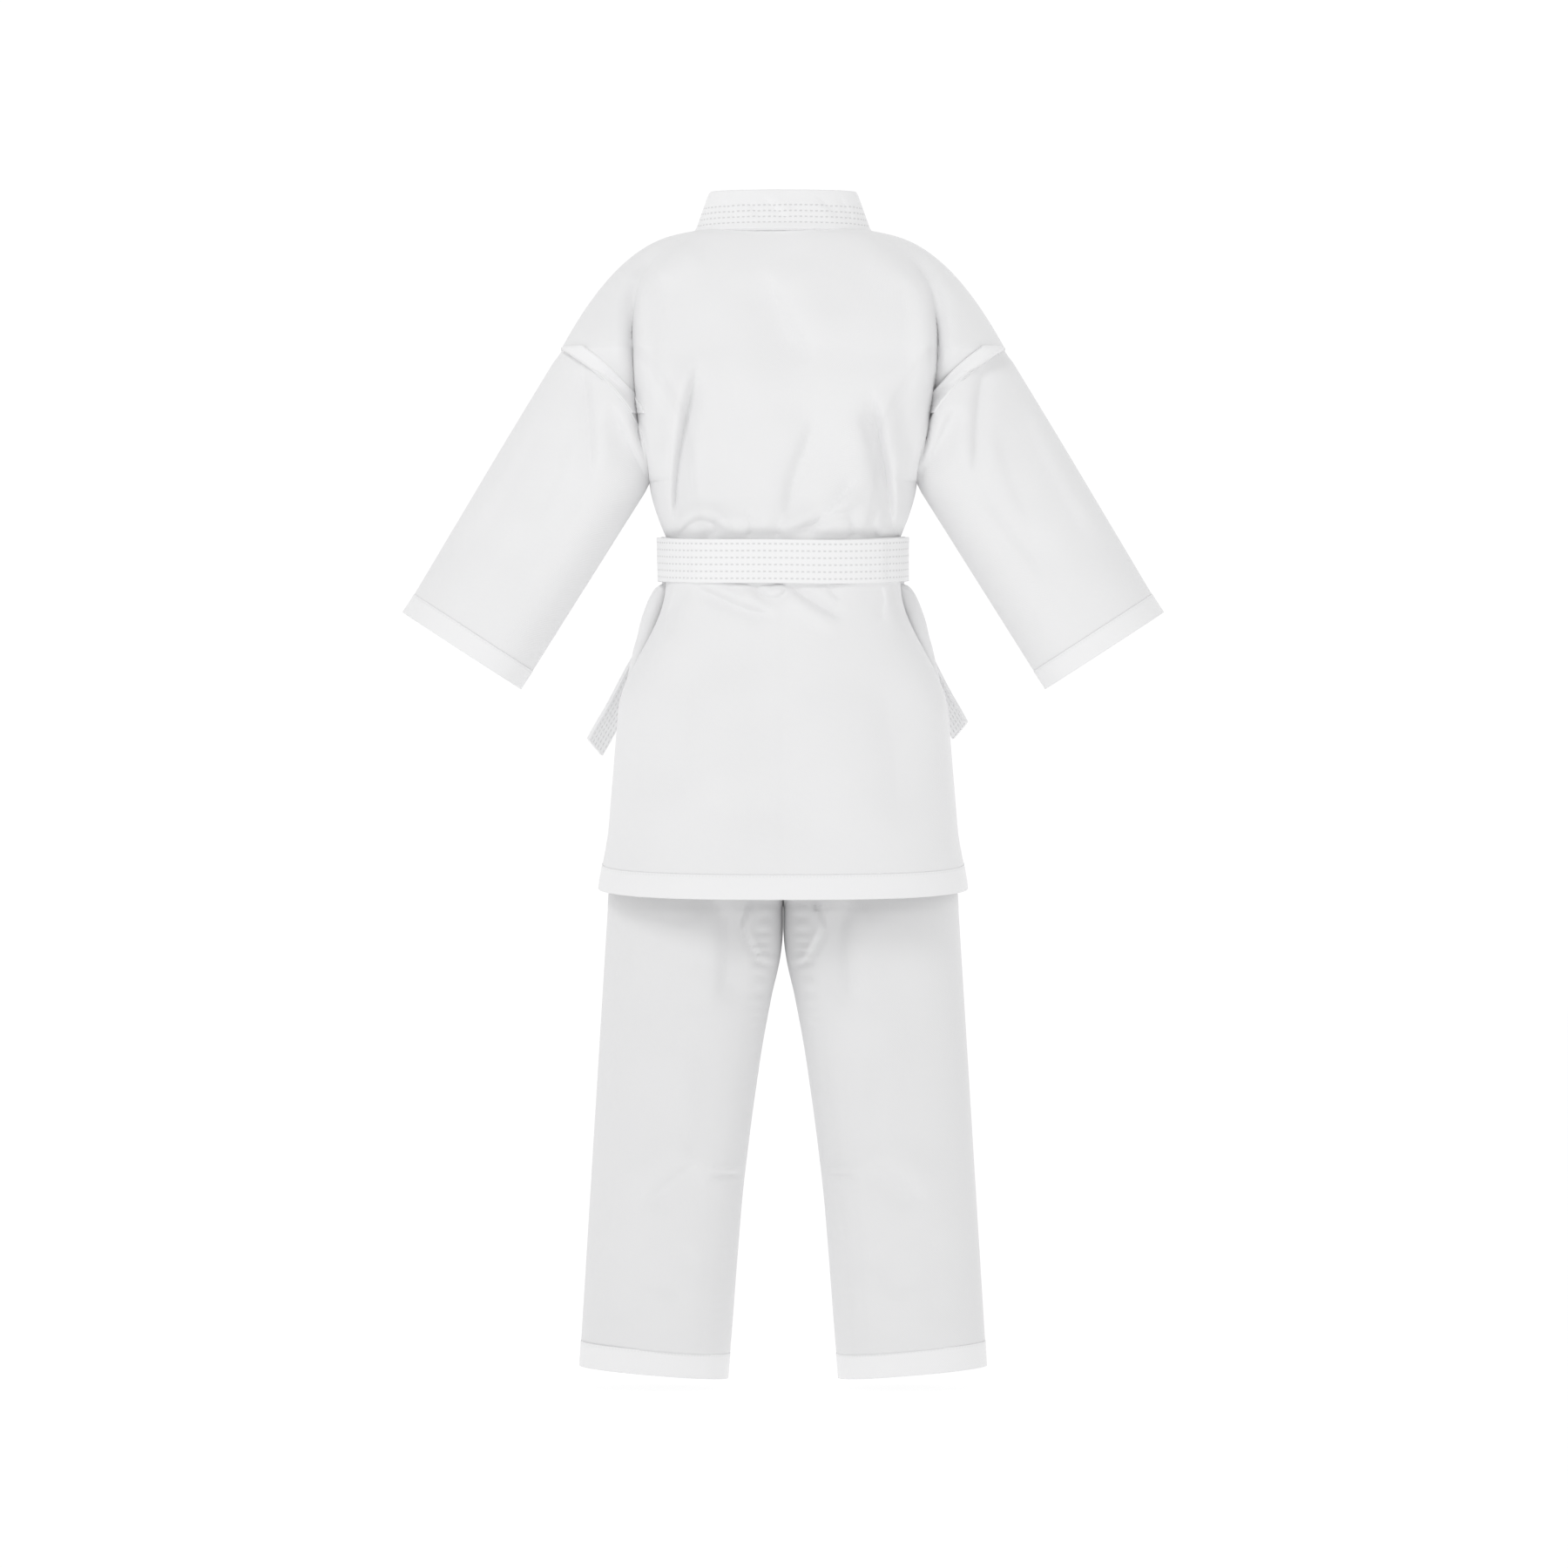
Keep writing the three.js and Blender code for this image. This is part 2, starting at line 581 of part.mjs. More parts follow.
function backSkirt(rows, thickness) {
  const points = grid(rows, steps(16, -Math.PI / 2, Math.PI / 2),
    (z, a) => skirtPoint(1, a, z, skirtShare(z)));
  const fix = (n, i, j, count, cols) => {
    if (j === 0 || j === cols - 1) {
      flatY(n);
    }
  };
  return sheet(points, thickness, { fix });
}
add('back_skirt', backSkirt(skirtRows(HEM_TOP), CLOTH));
add('back_skirt_hem', backSkirt([HEM_TOP - SEAM_GAP, SKIRT_BOTTOM], HEM), WHITE_DOUBLE);

const skirtAngle = (x, half) => Math.asin(power(clamp(x / half, -1, 1), SKIRT_ROUNDNESS / 2));
const tailLine = (z) => lerp(-LAPEL_AT_BELT, -LAPEL_AT_HEM, skirtShare(z));

// Piece of a front skirt between two lines given in front elevation.
function frontSkirt(side, under, zs, thickness, from, to, cols) {
  const points = grid(zs, steps(cols), (z, u) => {
    const { half } = skirtSize(-1, z);
    const end = to === null ? Math.PI / 2 : skirtAngle(to(z), half);
    const p = skirtPoint(-1, lerp(skirtAngle(from(z), half), end, u), z, skirtShare(z));
    return V(side * p.x, p.y, p.z);
  });
  const fix = (n, i, j, rows, count) => {
    if (j === count - 1 && to === null) {
      flatY(n);
    }
  };
  const offset = (i, j, p) => (under ? underLayer(p.x / skirtSize(-1, zs[i]).half) : 0);
  return sheet(points, thickness, { fix, offset });
}
for (const [name, side, under] of [['left', 1, false], ['right', -1, true]]) {
  const panel = skirtRows(HEM_TOP);
  const hem = [HEM_TOP - SEAM_GAP, SKIRT_BOTTOM];
  const edge = (z) => tailLine(z) + SEAM_GAP;
  const near = (z) => tailLine(z) - SEAM_GAP;
  const far = (z) => near(z) - LAPEL_WIDTH;
  add(`${name}_front_skirt`, frontSkirt(side, under, panel, CLOTH, edge, null, 11));
  add(`${name}_front_hem`, frontSkirt(side, under, hem, HEM, edge, null, 11), WHITE_DOUBLE);
  add(`${name}_lapel_tail`,
    frontSkirt(side, under, skirtRows(SKIRT_BOTTOM), BAND, far, near, 3), WHITE_DOUBLE);
}

// ---------------------------------------------------------------- belt ends

// A belt end leaves the side of the knot and bends down and out over the front of the skirt.
function beltTail(side) {
  const start = V(KNOT_WIDTH / 2 + SEAM_GAP, KNOT_BACK - KNOT_DEPTH / 2, KNOT_LEVEL);
  const bend = V(start.x + TAIL_BEND, start.y, KNOT_LEVEL - 8);
  const tip = V(KNOT_WIDTH / 2 + TAIL_REACH, TAIL_TIP_Y, KNOT_LEVEL - TAIL_DROP);
  const path = new THREE.QuadraticBezierCurve3(start, bend, tip);
  const ts = steps(12);
  const centre = ts.map((t) => {
    const p = path.getPoint(t);
    const { half, depth } = skirtSize(-1, p.z);
    const share = clamp(p.x / (half + 26), 0, 1);
    const skin = -depth * (1 - share ** SKIRT_ROUNDNESS) ** (1 / SKIRT_ROUNDNESS);
    return p.setY(t === 0 ? p.y : Math.min(p.y, skin - TAIL_FORWARD - BELT_PLY / 2));
  });
  const points = centre.map((p, k) => {
    const along = new THREE.Vector3().subVectors(centre[Math.min(k + 1, 12)], centre[Math.max(k - 1, 0)]);
    const face = V(0, -1, 0).lerp(V(0.93, -0.35, 0), smoothstep(ts[k], 0.15, 0.95));
    const wide = new THREE.Vector3().crossVectors(along, face).normalize();
    if (k === 0) {
      wide.set(0, 0, Math.sign(wide.z));
    }
    return steps(2, -0.5, 0.5).map((w) => p.clone().addScaledVector(wide, w * TAIL_WIDTH));
  });
  const fix = (n, i) => (i === 0 ? flatX(n) : n);
  return sheet(mirror(points, side), BELT_PLY, { fix });
}
add('left_belt_tail', beltTail(1), WHITE_BELT);
add('right_belt_tail', beltTail(-1), WHITE_BELT);

// ---------------------------------------------------------------- trousers

add('waistband', waistRing(BELT_TOP, BELT_BOTTOM, -WAISTBAND_IN, WAISTBAND_PLY), WHITE_DOUBLE);
const elasticTop = BELT_TOP - (BELT_WIDTH - ELASTIC_WIDTH) / 2;
add('waist_elastic', waistRing(elasticTop, elasticTop - ELASTIC_WIDTH, -ELASTIC_IN, ELASTIC_PLY),
  WHITE_BELT);

const INSEAM_SHAPE = [[0, 0], [0.14, 0.08], [0.22, 0.22], [0.29, 0.34], [0.445, 0.54],
  [0.6, 0.71], [0.75, 0.82], [0.9, 0.92], [1, 1], [1.2, 1.08]];

function table(rows, q) {
  let k = 0;
  while (k < rows.length - 2 && q > rows[k + 1][0]) {
    k += 1;
  }
  const [a, b] = [rows[k], rows[k + 1]];
  return lerp(a[1], b[1], clamp((q - a[0]) / (b[0] - a[0]), 0, 1));
}

function legSection(z) {
  const q = (CROTCH - z) / (CROTCH - LEG_BOTTOM);
  const outer = lerp(THIGH_OUTER, LEG_HEM_OUTER, q);
  const inner = lerp(THIGH_INNER, LEG_HEM_INNER, table(INSEAM_SHAPE, Math.max(q, 0)));
  return { outer, inner, depth: lerp(THIGH_DEPTH, LEG_HEM_DEPTH, clamp(q, 0, 1)) };
}

// Point of a leg: turn 0 is the outside, pi/2 the back and pi the inside.
function legPoint(turn, z) {
  const { outer, inner, depth } = legSection(z);
  const x = (outer + inner) / 2 + ((outer - inner) / 2) * power(Math.cos(turn), 2 / LEG_ROUNDNESS);
  return V(x, depth * power(Math.sin(turn), 2 / LEG_ROUNDNESS), z);
}

function seatSize(z) {
  const top = [WAIST_HALF - WAISTBAND_IN, WAIST_DEPTH - WAISTBAND_IN];
  const q = clamp((BELT_BOTTOM - z) / (BELT_BOTTOM - HIP_LEVEL), 0, 1);
  const half = lerp(top[0], HIP_HALF, q ** 1.25);
  const low = clamp((HIP_LEVEL - z) / (HIP_LEVEL - CROTCH), 0, 1);
  return { half: lerp(half, THIGH_OUTER, low), depth: lerp(top[1], HIP_DEPTH, q ** 0.8) };
}

// Half of the seat: a level half section that turns into a whole leg ring at the crotch.
function seatPoint(t, z) {
  const { half, depth } = seatSize(z);
  const fork = clamp((FORK_START - z) / (FORK_START - CROTCH), 0, 1) ** 2;
  const a = (Math.PI / 2) * t;
  const hip = V(half * Math.max(Math.cos(a), 0) ** (2 / ROUNDNESS),
    depth * power(Math.sin(a), 2 / ROUNDNESS), z);
  const leg = legPoint(Math.PI * t, CROTCH).setZ(z);
  const p = hip.lerp(leg, fork);
  return V(p.x + SEAM_GAP / 2, p.y + Math.sign(t) * SEAM_GAP * fork, p.z);
}

const seatTop = BELT_BOTTOM - SEAM_GAP;
const seatRows = [...steps(4, seatTop, FORK_START), ...steps(4, FORK_START - 20, CROTCH)];
// The top of a leg slopes down to the front and back, so that it swings clear of the seat.
const legTop = (p) => HIP_JOINT - Math.max(-p.y, 0) * Math.tan(FORWARD_SWING)
  - Math.max(p.y, 0) * Math.tan(BACKWARD_SWING);
const legEnd = (p, z) => {
  const { outer, inner } = legSection(z);
  return (LEG_TILT * (outer - p.x)) / (outer - inner);
};

for (const [name, side] of [['left', 1], ['right', -1]]) {
  const seam = (n, i, j, rows, cols) => {
    if ((j === 0 || j === cols - 1) && seatRows[i] > FORK_START - 20) {
      flatX(n);
    }
  };
  const seat = grid(seatRows, steps(20, -1, 1), (z, t) => seatPoint(t, z));
  add(`${name}_trouser_seat`, sheet(mirror(seat, side), CLOTH, { fix: seam }));

  const turns = ring(20);
  const fold = grid([0, 1], turns, (u, a) => {
    const top = legPoint(a, CROTCH - SEAM_GAP * 2);
    const low = legPoint(a, legTop(top) + SEAM_GAP);
    return top.lerp(low, u);
  });
  add(`${name}_thigh_fold`, sheet(mirror(fold, side), CLOTH, { closed: true }));

  const hemTop = LEG_BOTTOM + LEG_HEM;
  const leg = grid([0, 0.12, 0.27, 0.45, 0.7, 1], turns, (u, a) => {
    const top = legPoint(a, CROTCH);
    const p = legPoint(a, lerp(legTop(top), hemTop, u));
    return p.setZ(p.z - u * legEnd(p, p.z));
  });
  add(`${name}_trouser_leg`, sheet(mirror(leg, side), CLOTH, { closed: true }));

  const hem = grid([hemTop - SEAM_GAP, LEG_BOTTOM], turns, (z, a) => {
    const p = legPoint(a, z);
    return p.setZ(p.z - legEnd(p, p.z));
  });
  add(`${name}_leg_hem`, sheet(mirror(hem, side), HEM, { closed: true }), WHITE_DOUBLE);

  // The inseam tape lies on the back of the leg, beside its inner edge.
  const tapeRows = steps(8, HIP_JOINT - THIGH_DEPTH * Math.tan(BACKWARD_SWING), hemTop + 2);
  const tape = grid(tapeRows, steps(1), (z, w) => {
    const { outer, inner } = legSection(z);
    const a = Math.PI * 0.86;
    const step = (w * INSEAM_TAPE_WIDTH) / ((outer - inner) / 2);
    const p = legPoint(a - step, z);
    return p.setZ(z - legEnd(p, z) * ((z - tapeRows[0]) / (hemTop - tapeRows[0])));
  });
  const lift = CLOTH / 2 + 0.9 + TAPE / 2;
  const face = (n) => (n.y < 0 ? n.negate() : n);
  add(`${name}_inseam_tape`, sheet(mirror(tape, side), TAPE, { fix: face, offset: lift }), WHITE_DOUBLE);
}

// The gusset is a small saddle over the crotch, inside the seat seam.
function gusset() {
  const forkLevel = (y) => {
    const fork = 1 - Math.abs(y) / HIP_DEPTH;
    return FORK_START - (FORK_START - CROTCH) * Math.sqrt(Math.max(fork, 0));
  };
  const points = grid(steps(8, -GUSSET_LENGTH / 2, GUSSET_LENGTH / 2), steps(4, -1, 1), (y, w) => {
    const half = GUSSET_END + (GUSSET_HALF - GUSSET_END) * (1 - (2 * Math.abs(y)) / GUSSET_LENGTH);
    return V(half * w, y, forkLevel(y) + GUSSET_LIFT - 1.5 * w * w);
  });
  return sheet(points, CLOTH);
}
add('crotch_gusset', gusset());

export default group;
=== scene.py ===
"""Child's martial arts uniform: wrap jacket, knotted belt and wide trousers, hanging as if worn.

The wearer faces -Y, +Z is up and +X is the wearer's left. Lengths inside the shape functions are in
millimetres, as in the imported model; meshes are made in metres. Every shape is a function of two
numbers worked out on a grid, and becomes a thin closed sheet of cloth.
"""

import bpy
import numpy as np
from bpy.props import FloatProperty, FloatVectorProperty, PointerProperty
from mathutils import Matrix, Vector


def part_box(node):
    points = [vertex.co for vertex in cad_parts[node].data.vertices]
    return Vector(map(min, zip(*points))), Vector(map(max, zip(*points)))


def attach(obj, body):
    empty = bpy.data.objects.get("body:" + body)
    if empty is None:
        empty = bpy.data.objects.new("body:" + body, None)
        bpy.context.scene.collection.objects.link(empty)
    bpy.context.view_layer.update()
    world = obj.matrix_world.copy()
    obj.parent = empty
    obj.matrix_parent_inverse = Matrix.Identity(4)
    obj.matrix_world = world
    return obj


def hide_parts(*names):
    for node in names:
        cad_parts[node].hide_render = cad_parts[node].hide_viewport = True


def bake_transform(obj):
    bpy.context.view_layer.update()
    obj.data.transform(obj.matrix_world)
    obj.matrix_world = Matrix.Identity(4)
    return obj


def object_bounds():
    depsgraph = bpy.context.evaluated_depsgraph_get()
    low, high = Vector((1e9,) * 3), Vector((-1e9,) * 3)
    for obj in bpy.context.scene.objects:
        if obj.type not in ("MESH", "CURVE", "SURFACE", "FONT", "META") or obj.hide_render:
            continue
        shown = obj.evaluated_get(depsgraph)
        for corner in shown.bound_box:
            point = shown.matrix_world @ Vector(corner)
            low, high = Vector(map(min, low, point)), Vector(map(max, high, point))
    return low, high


bl_info = {
    "name": "Martial arts uniform",
    "version": (1, 0, 0),
    "blender": (4, 5, 0),
    "location": "3D View > Sidebar > Uniform",
    "description": "Builds the cloth, stitching and stage of a child's martial arts uniform",
    "category": "Object",
}

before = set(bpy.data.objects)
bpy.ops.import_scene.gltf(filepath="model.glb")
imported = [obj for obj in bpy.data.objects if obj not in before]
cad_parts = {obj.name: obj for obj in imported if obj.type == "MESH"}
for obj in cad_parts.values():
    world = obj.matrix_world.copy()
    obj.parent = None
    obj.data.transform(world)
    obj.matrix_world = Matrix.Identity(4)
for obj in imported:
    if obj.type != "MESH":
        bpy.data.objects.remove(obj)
CAD_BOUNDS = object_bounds()


def node_top(name):
    """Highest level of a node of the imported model, in millimetres."""
    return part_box(name)[1][2] * 1000


def node_bottom(name):
    """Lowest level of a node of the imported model, in millimetres."""
    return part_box(name)[0][2] * 1000


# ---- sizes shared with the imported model, in millimetres ----
SEAM_GAP, SETTLE = 0.5, 3.4
NECK_HALF, NECK_DEPTH, NECK_ARCH, FRONT_NECK_DROP = 83.0, 55.0, 3.0, 60.0
SHOULDER_HALF, SHOULDER_DROP, SHOULDER_CURVE = 213.0, 112.0, 2.2
CHEST_DEPTH, CHEST_LEVEL = 95.0, 170.0
UNDERARM_HALF, UNDERARM_DROP = 128.0, 242.0
WAIST_HALF, WAIST_DEPTH = 112.0, 89.0
ROUNDNESS = 2.4
ARMHOLE_DEPTH, ARMHOLE_PULL_X, ARMHOLE_PULL_Z = 58.0, 84.0, 55.0
COLLAR_HEIGHT, COLLAR_LEAN, COLLAR_BACK_LEAN, COLLAR_LIFT = 36.0, 13.0, 11.0, 1.5
LAPEL_WIDTH, LAPEL_CROSSING, LAPEL_AT_BELT, LAPEL_AT_HEM, LAPEL_TURN = 38.0, 190.0, 48.0, 70.0, 95.0
CUFF_OUTER = np.array([366.0, 0.0, -368.0])
CUFF_WIDTH, CUFF_TILT, CUFF_DEPTH, SLEEVE_HEM = 134.0, np.radians(33), 56.0, 20.0
BELT_TOP = node_top("belt_outer_wrap")
BELT_BOTTOM = node_bottom("belt_outer_wrap")
BELT_PLY, WRAP_OUT, OUTER_WRAP_OUT = 3.0, 4.6, 8.2
JACKET_LIP = BELT_BOTTOM - 3.6
SKIRT_TOP = JACKET_LIP - 0.8
KNOT_WIDTH, KNOT_DEPTH = 53.0, 22.0
KNOT_BACK = -(WAIST_DEPTH + OUTER_WRAP_OUT + BELT_PLY / 2 + 0.6)
KNOT_LEVEL = (BELT_TOP + BELT_BOTTOM) / 2
TAIL_DROP, TAIL_REACH, TAIL_BEND, TAIL_TIP_Y, TAIL_FORWARD, TAIL_WIDTH = 181.0, 157.0, 62.0, -72.0, 7.0, 40.0
RIGHT_TIP_SHIFT = np.array([-11.0, 0.0, 16.0])
SKIRT_SAG, SKIRT_BACK_DEPTH, SKIRT_FRONT_DEPTH = 11.0, 126.0, 120.0
SKIRT_BOTTOM = -632.0
SKIRT_HEM, SKIRT_ROUNDNESS = 22.0, 2.7
UNDER_LAYER, WAISTBAND_IN, ELASTIC_IN = 5.4, 9.2, 11.8
HIP_HALF, HIP_DEPTH, HIP_LEVEL = 158.0, 88.0, -590.0
FORK_START, CROTCH = -560.0, -655.0
THIGH_OUTER, THIGH_INNER, THIGH_DEPTH = 168.0, 4.0, 72.0
LEG_HEM_OUTER, LEG_HEM_INNER, LEG_HEM_DEPTH = 195.0, 54.0, 62.0
LEG_BOTTOM, LEG_TILT, LEG_HEM, LEG_ROUNDNESS = -1093.0, 12.0, 23.0, 2.3
SIDES = (("left", 1.0), ("right", -1.0))


# ---------------------------------------------------------------- arithmetic on arrays

def spow(value, exponent):
    """Power that keeps the sign of its base."""
    return np.sign(value) * np.abs(value) ** exponent


def lerp(a, b, t):
    """Straight mix of a and b."""
    return a + (b - a) * t


def smooth(x, low, high):
    """Cubic step from 0 at low to 1 at high."""
    t = np.clip((x - low) / (high - low), 0, 1)
    return t * t * (3 - 2 * t)


def points(x, y, z):
    """Stacks three arrays into points."""
    return np.stack(np.broadcast_arrays(x, y, z), -1).astype(float)


def unit(v):
    """Vectors of length one."""
    return v / np.maximum(np.linalg.norm(v, axis=-1, keepdims=True), 1e-12)


def turns(count):
    """Angles of a ring, without its repeated end."""
    return np.arange(count) * 2 * np.pi / count


def spread(*stops):
    """Joins even runs of numbers: each stop is (value, steps to it from the last one)."""
    runs = [np.array([stops[0][0]], float)]
    for (a, _), (b, n) in zip(stops, stops[1:]):
        runs.append(np.linspace(a, b, n + 1)[1:])
    return np.concatenate(runs)


# ---------------------------------------------------------------- folds

def curve_through(stops, count=14):
    """Even points on a Catmull-Rom curve through a few stops."""
    p = np.array(stops, float)
    p = np.vstack([2 * p[0] - p[1], p, 2 * p[-1] - p[-2]])
    t = np.linspace(0, len(p) - 3 - 1e-9, count)
    k = t.astype(int)
    t = (t - k)[:, None]
    a, b, c, d = p[k], p[k + 1], p[k + 2], p[k + 3]
    square, cube = 2 * a - 5 * b + 4 * c - d, 3 * b - a - 3 * c + d
    return 0.5 * (2 * b + (c - a) * t + square * t ** 2 + cube * t ** 3)


def beside(x, z, line):
    """Signed distance of every point from a line of stops, and how far along the line it lies, 0 to 1."""
    steps = np.diff(line, axis=0)
    lengths = np.linalg.norm(steps, axis=1)
    start = np.concatenate([[0], np.cumsum(lengths)])
    best = np.full(x.shape, 1e9)
    side = np.zeros(x.shape)
    along = np.zeros(x.shape)
    for p, d, length, s0 in zip(line, steps, lengths, start):
        rx, rz = x - p[0], z - p[1]
        t = (rx * d[0] + rz * d[1]) / length ** 2
        c = np.clip(t, 0, 1)
        far = np.hypot(rx - c * d[0], rz - c * d[1])
        near = far < best
        best = np.where(near, far, best)
        side = np.where(near, np.sign(rx * d[1] - rz * d[0]) * far, side)
        along = np.where(near, (s0 + c * length) / start[-1], along)
    return side, along


def fold_height(x, z, folds):
    """Height of a set of folds over a sheet seen in elevation.

    A fold is (stops, width, depth, ridge, bank): a Gaussian valley of that width and depth along a
    curve, steeper on the side that bank gives and with a Gaussian ridge there, fading in and out at
    its ends.
    """
    total = np.zeros(x.shape)
    for stops, width, depth, ridge, bank in folds:
        side, along = beside(x, z, curve_through(stops))
        fade = smooth(along, 0, 0.28) * smooth(1 - along, 0, 0.28)
        valley = np.exp(-(side / np.where(side * bank > 0, 0.62 * width, 1.6 * width)) ** 2)
        crest = np.exp(-((side - bank * 1.9 * width) / (1.5 * width)) ** 2)
        total += depth * fade * (ridge * crest - valley)
    return total


def unevenness(x, z, seed, size, height):
    """Soft unevenness: a sum of sine waves whose directions and phases come from a seeded generator."""
    rng = np.random.default_rng(seed)
    total = np.zeros(np.broadcast(x, z).shape)
    for k in range(9):
        angle, phase = rng.uniform(0, 2 * np.pi, 2)
        wave = size * rng.uniform(0.55, 1.6)
        total += np.sin(2 * np.pi * (x * np.cos(angle) + z * np.sin(angle)) / wave + phase) * wave / size
    return total * height / 4


def mirrored(folds):
    """The same folds on the other side of the wearer."""
    return [([(-x, z) for x, z in stops], w, d, r, -b) for stops, w, d, r, b in folds]


# ---------------------------------------------------------------- thin closed sheets

def sheet_normals(mid, closed):
    """Normals of a grid, from the differences along its rows and columns, pointing away from the
    middle of each ring, or from the Z axis on an open sheet."""
    if closed:
        across = np.roll(mid, -1, 1) - np.roll(mid, 1, 1)
        middle = mid.mean(1, keepdims=True)
    else:
        across = np.gradient(mid, axis=1)
        middle = mid * [0, 0, 1]
    n = unit(np.cross(across, np.gradient(mid, axis=0)))
    facing = 1.0 if (n * (mid - middle)).sum() > 0 else -1.0
    return n * facing, facing


def lengths_along(mid, axis, closed):
    """Distance walked over the sheet along one direction, measured from its start."""
    grown = np.concatenate([mid, mid[:, :1]], 1) if closed else mid
    step = np.linalg.norm(np.diff(grown, axis=axis), axis=2)
    pad = [(0, 0), (0, 0)]
    pad[axis] = (1, 0)
    return np.pad(np.cumsum(step, axis=axis), pad)


def sheet_faces(rows, cols, closed):
    """Corner numbers of every face of a closed sheet: outer side, inner side and rims. The second
    result gives each corner's place in the grid of cloth coordinates, which has one more column on
    a ring."""
    spans = cols if closed else cols - 1
    i, j = np.meshgrid(np.arange(rows - 1), np.arange(spans), indexing="ij")
    i, j = i.ravel(), j.ravel()
    wide = cols + 1 if closed else cols

    def corners(*steps):
        at = np.stack([s[0] * cols + s[1] % cols + s[2] * rows * cols for s in steps], 1)
        uv = np.stack([s[0] * wide + s[1] for s in steps], 1)
        return at, uv

    k = np.arange(spans)
    last = np.full_like(k, rows - 1)
    zero = np.zeros_like(k)
    parts = [
        corners((i, j, 0), (i, j + 1, 0), (i + 1, j + 1, 0), (i + 1, j, 0)),
        corners((i, j, 1), (i + 1, j, 1), (i + 1, j + 1, 1), (i, j + 1, 1)),
        corners((zero, k, 1), (zero, k + 1, 1), (zero, k + 1, 0), (zero, k, 0)),
        corners((last, k, 0), (last, k + 1, 0), (last, k + 1, 1), (last, k, 1)),
    ]
    if not closed:
        r = np.arange(rows - 1)
        start = np.zeros_like(r)
        end = np.full_like(r, cols - 1)
        parts.append(corners((r, start, 0), (r + 1, start, 0), (r + 1, start, 1), (r, start, 1)))
        parts.append(corners((r + 1, end, 0), (r, end, 0), (r, end, 1), (r + 1, end, 1)))
    rims = sum(len(p[0]) for p in parts[2:])
    return np.concatenate([p[0] for p in parts]), np.concatenate([p[1] for p in parts]), rims


def settled(verts):
    """The cloth hangs SETTLE lower at the neck than its pattern, by a cubic step from the chest up."""
    z = verts[:, 2]
    return np.column_stack([verts[:, :2], z - SETTLE * smooth(z, -230, -20)])


def mesh_object(name, verts, faces, uv, flat_faces):
    """Blender mesh from arrays of points in millimetres, quads and their corners' coordinates."""
    mesh = bpy.data.meshes.new(name)
    mesh.vertices.add(len(verts))
    mesh.vertices.foreach_set("co", (settled(verts) * 0.001).astype(np.float32).ravel())
    mesh.loops.add(faces.size)
    mesh.loops.foreach_set("vertex_index", faces.astype(np.int32).ravel())
    mesh.polygons.add(len(faces))
    mesh.polygons.foreach_set("loop_start", np.arange(0, faces.size, 4, dtype=np.int32))
    layer = mesh.uv_layers.new(name="cloth")
    layer.data.foreach_set("uv", (uv * 0.001).astype(np.float32).ravel())
    mesh.polygons.foreach_set("use_smooth", ~flat_faces)
    mesh.update(calc_edges=True)
    mesh.validate()
    piece = bpy.data.objects.new(name, mesh)
    bpy.context.collection.objects.link(piece)
    return piece


def cloth_solid(mid, thickness, closed=False, shift=0.0, along_rows=False):
    """Arrays of a thin closed sheet: two copies of the grid, half the thickness to either side along
    its normals, joined by rims. Cloth coordinates are distances walked along and down the sheet."""
    n, facing = sheet_normals(mid, closed)
    rows, cols = mid.shape[:2]
    shift = np.broadcast_to(shift, mid.shape[:2])[..., None]
    half = np.broadcast_to(thickness, mid.shape[:2])[..., None] / 2
    verts = np.concatenate([(mid + n * (shift + out)).reshape(-1, 3) for out in (half, -half)])
    faces, places, rims = sheet_faces(rows, cols, closed)
    u = lengths_along(mid, 1, closed)
    u = u - u[:, u.shape[1] // 2][:, None]
    v = lengths_along(mid, 0, False)
    if closed:
        v = np.concatenate([v, v[:, :1]], 1)
    uv = np.stack([v, u] if along_rows else [u, v], -1).reshape(-1, 2)[places]
    if along_rows:
        uv[..., 1] -= uv[..., 1].min()
    if facing < 0:
        faces = faces[:, ::-1]
        uv = uv[:, ::-1]
    flat = np.zeros(len(faces), bool)
    flat[len(faces) - rims:] = True
    return verts, faces, uv.reshape(-1, 2), flat


def joined(solids):
    """Several solids as the arrays of one mesh."""
    start = np.cumsum([0] + [len(s[0]) for s in solids[:-1]])
    return (np.concatenate([s[0] for s in solids]),
            np.concatenate([s[1] + k for s, k in zip(solids, start)]),
            np.concatenate([s[2] for s in solids]),
            np.concatenate([s[3] for s in solids]))


def cut_size(mid, closed):
    """Width, length and area of the flat cloth, in metres, from the longest row and column and the
    cells' areas. The area is held between 0.31 and 1 of the rectangle, which gives the two front sleeve
    seam tapes more cloth than they have, because their longest row is wider than their cut."""
    width = lengths_along(mid, 1, closed)[:, -1].max()
    length = lengths_along(mid, 0, False)[-1].max()
    ring = np.concatenate([mid, mid[:, :1]], 1) if closed else mid
    cells = np.cross(ring[1:, 1:] - ring[:-1, :-1], ring[1:, :-1] - ring[:-1, 1:])
    area = np.linalg.norm(cells, axis=2).sum() / 2
    area = min(max(area, 0.31 * width * length), width * length)
    return (width * 0.001, length * 0.001), area * 1e-6


def cloth_piece(name, mid, thickness, finish, stands_for, closed=False,
                shift=0.0, along_rows=False, body=None, bend=None):
    """One piece of cloth: parented to its body, or, when bend is given, with its placement baked into the
    mesh and no parent.
    """
    solid = cloth_solid(mid, thickness, closed, shift, along_rows)
    piece = mesh_object(name, *solid)
    piece.data.materials.append(finish)
    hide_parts(*stands_for)
    flat, area = cut_size(mid, closed)
    if bend:
        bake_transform(piece)
    else:
        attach(piece, body)
    return piece


def to_side(mid, side):
    """The grid on the wearer's left (1) or right (-1)."""
    return mid * [side, 1, 1]


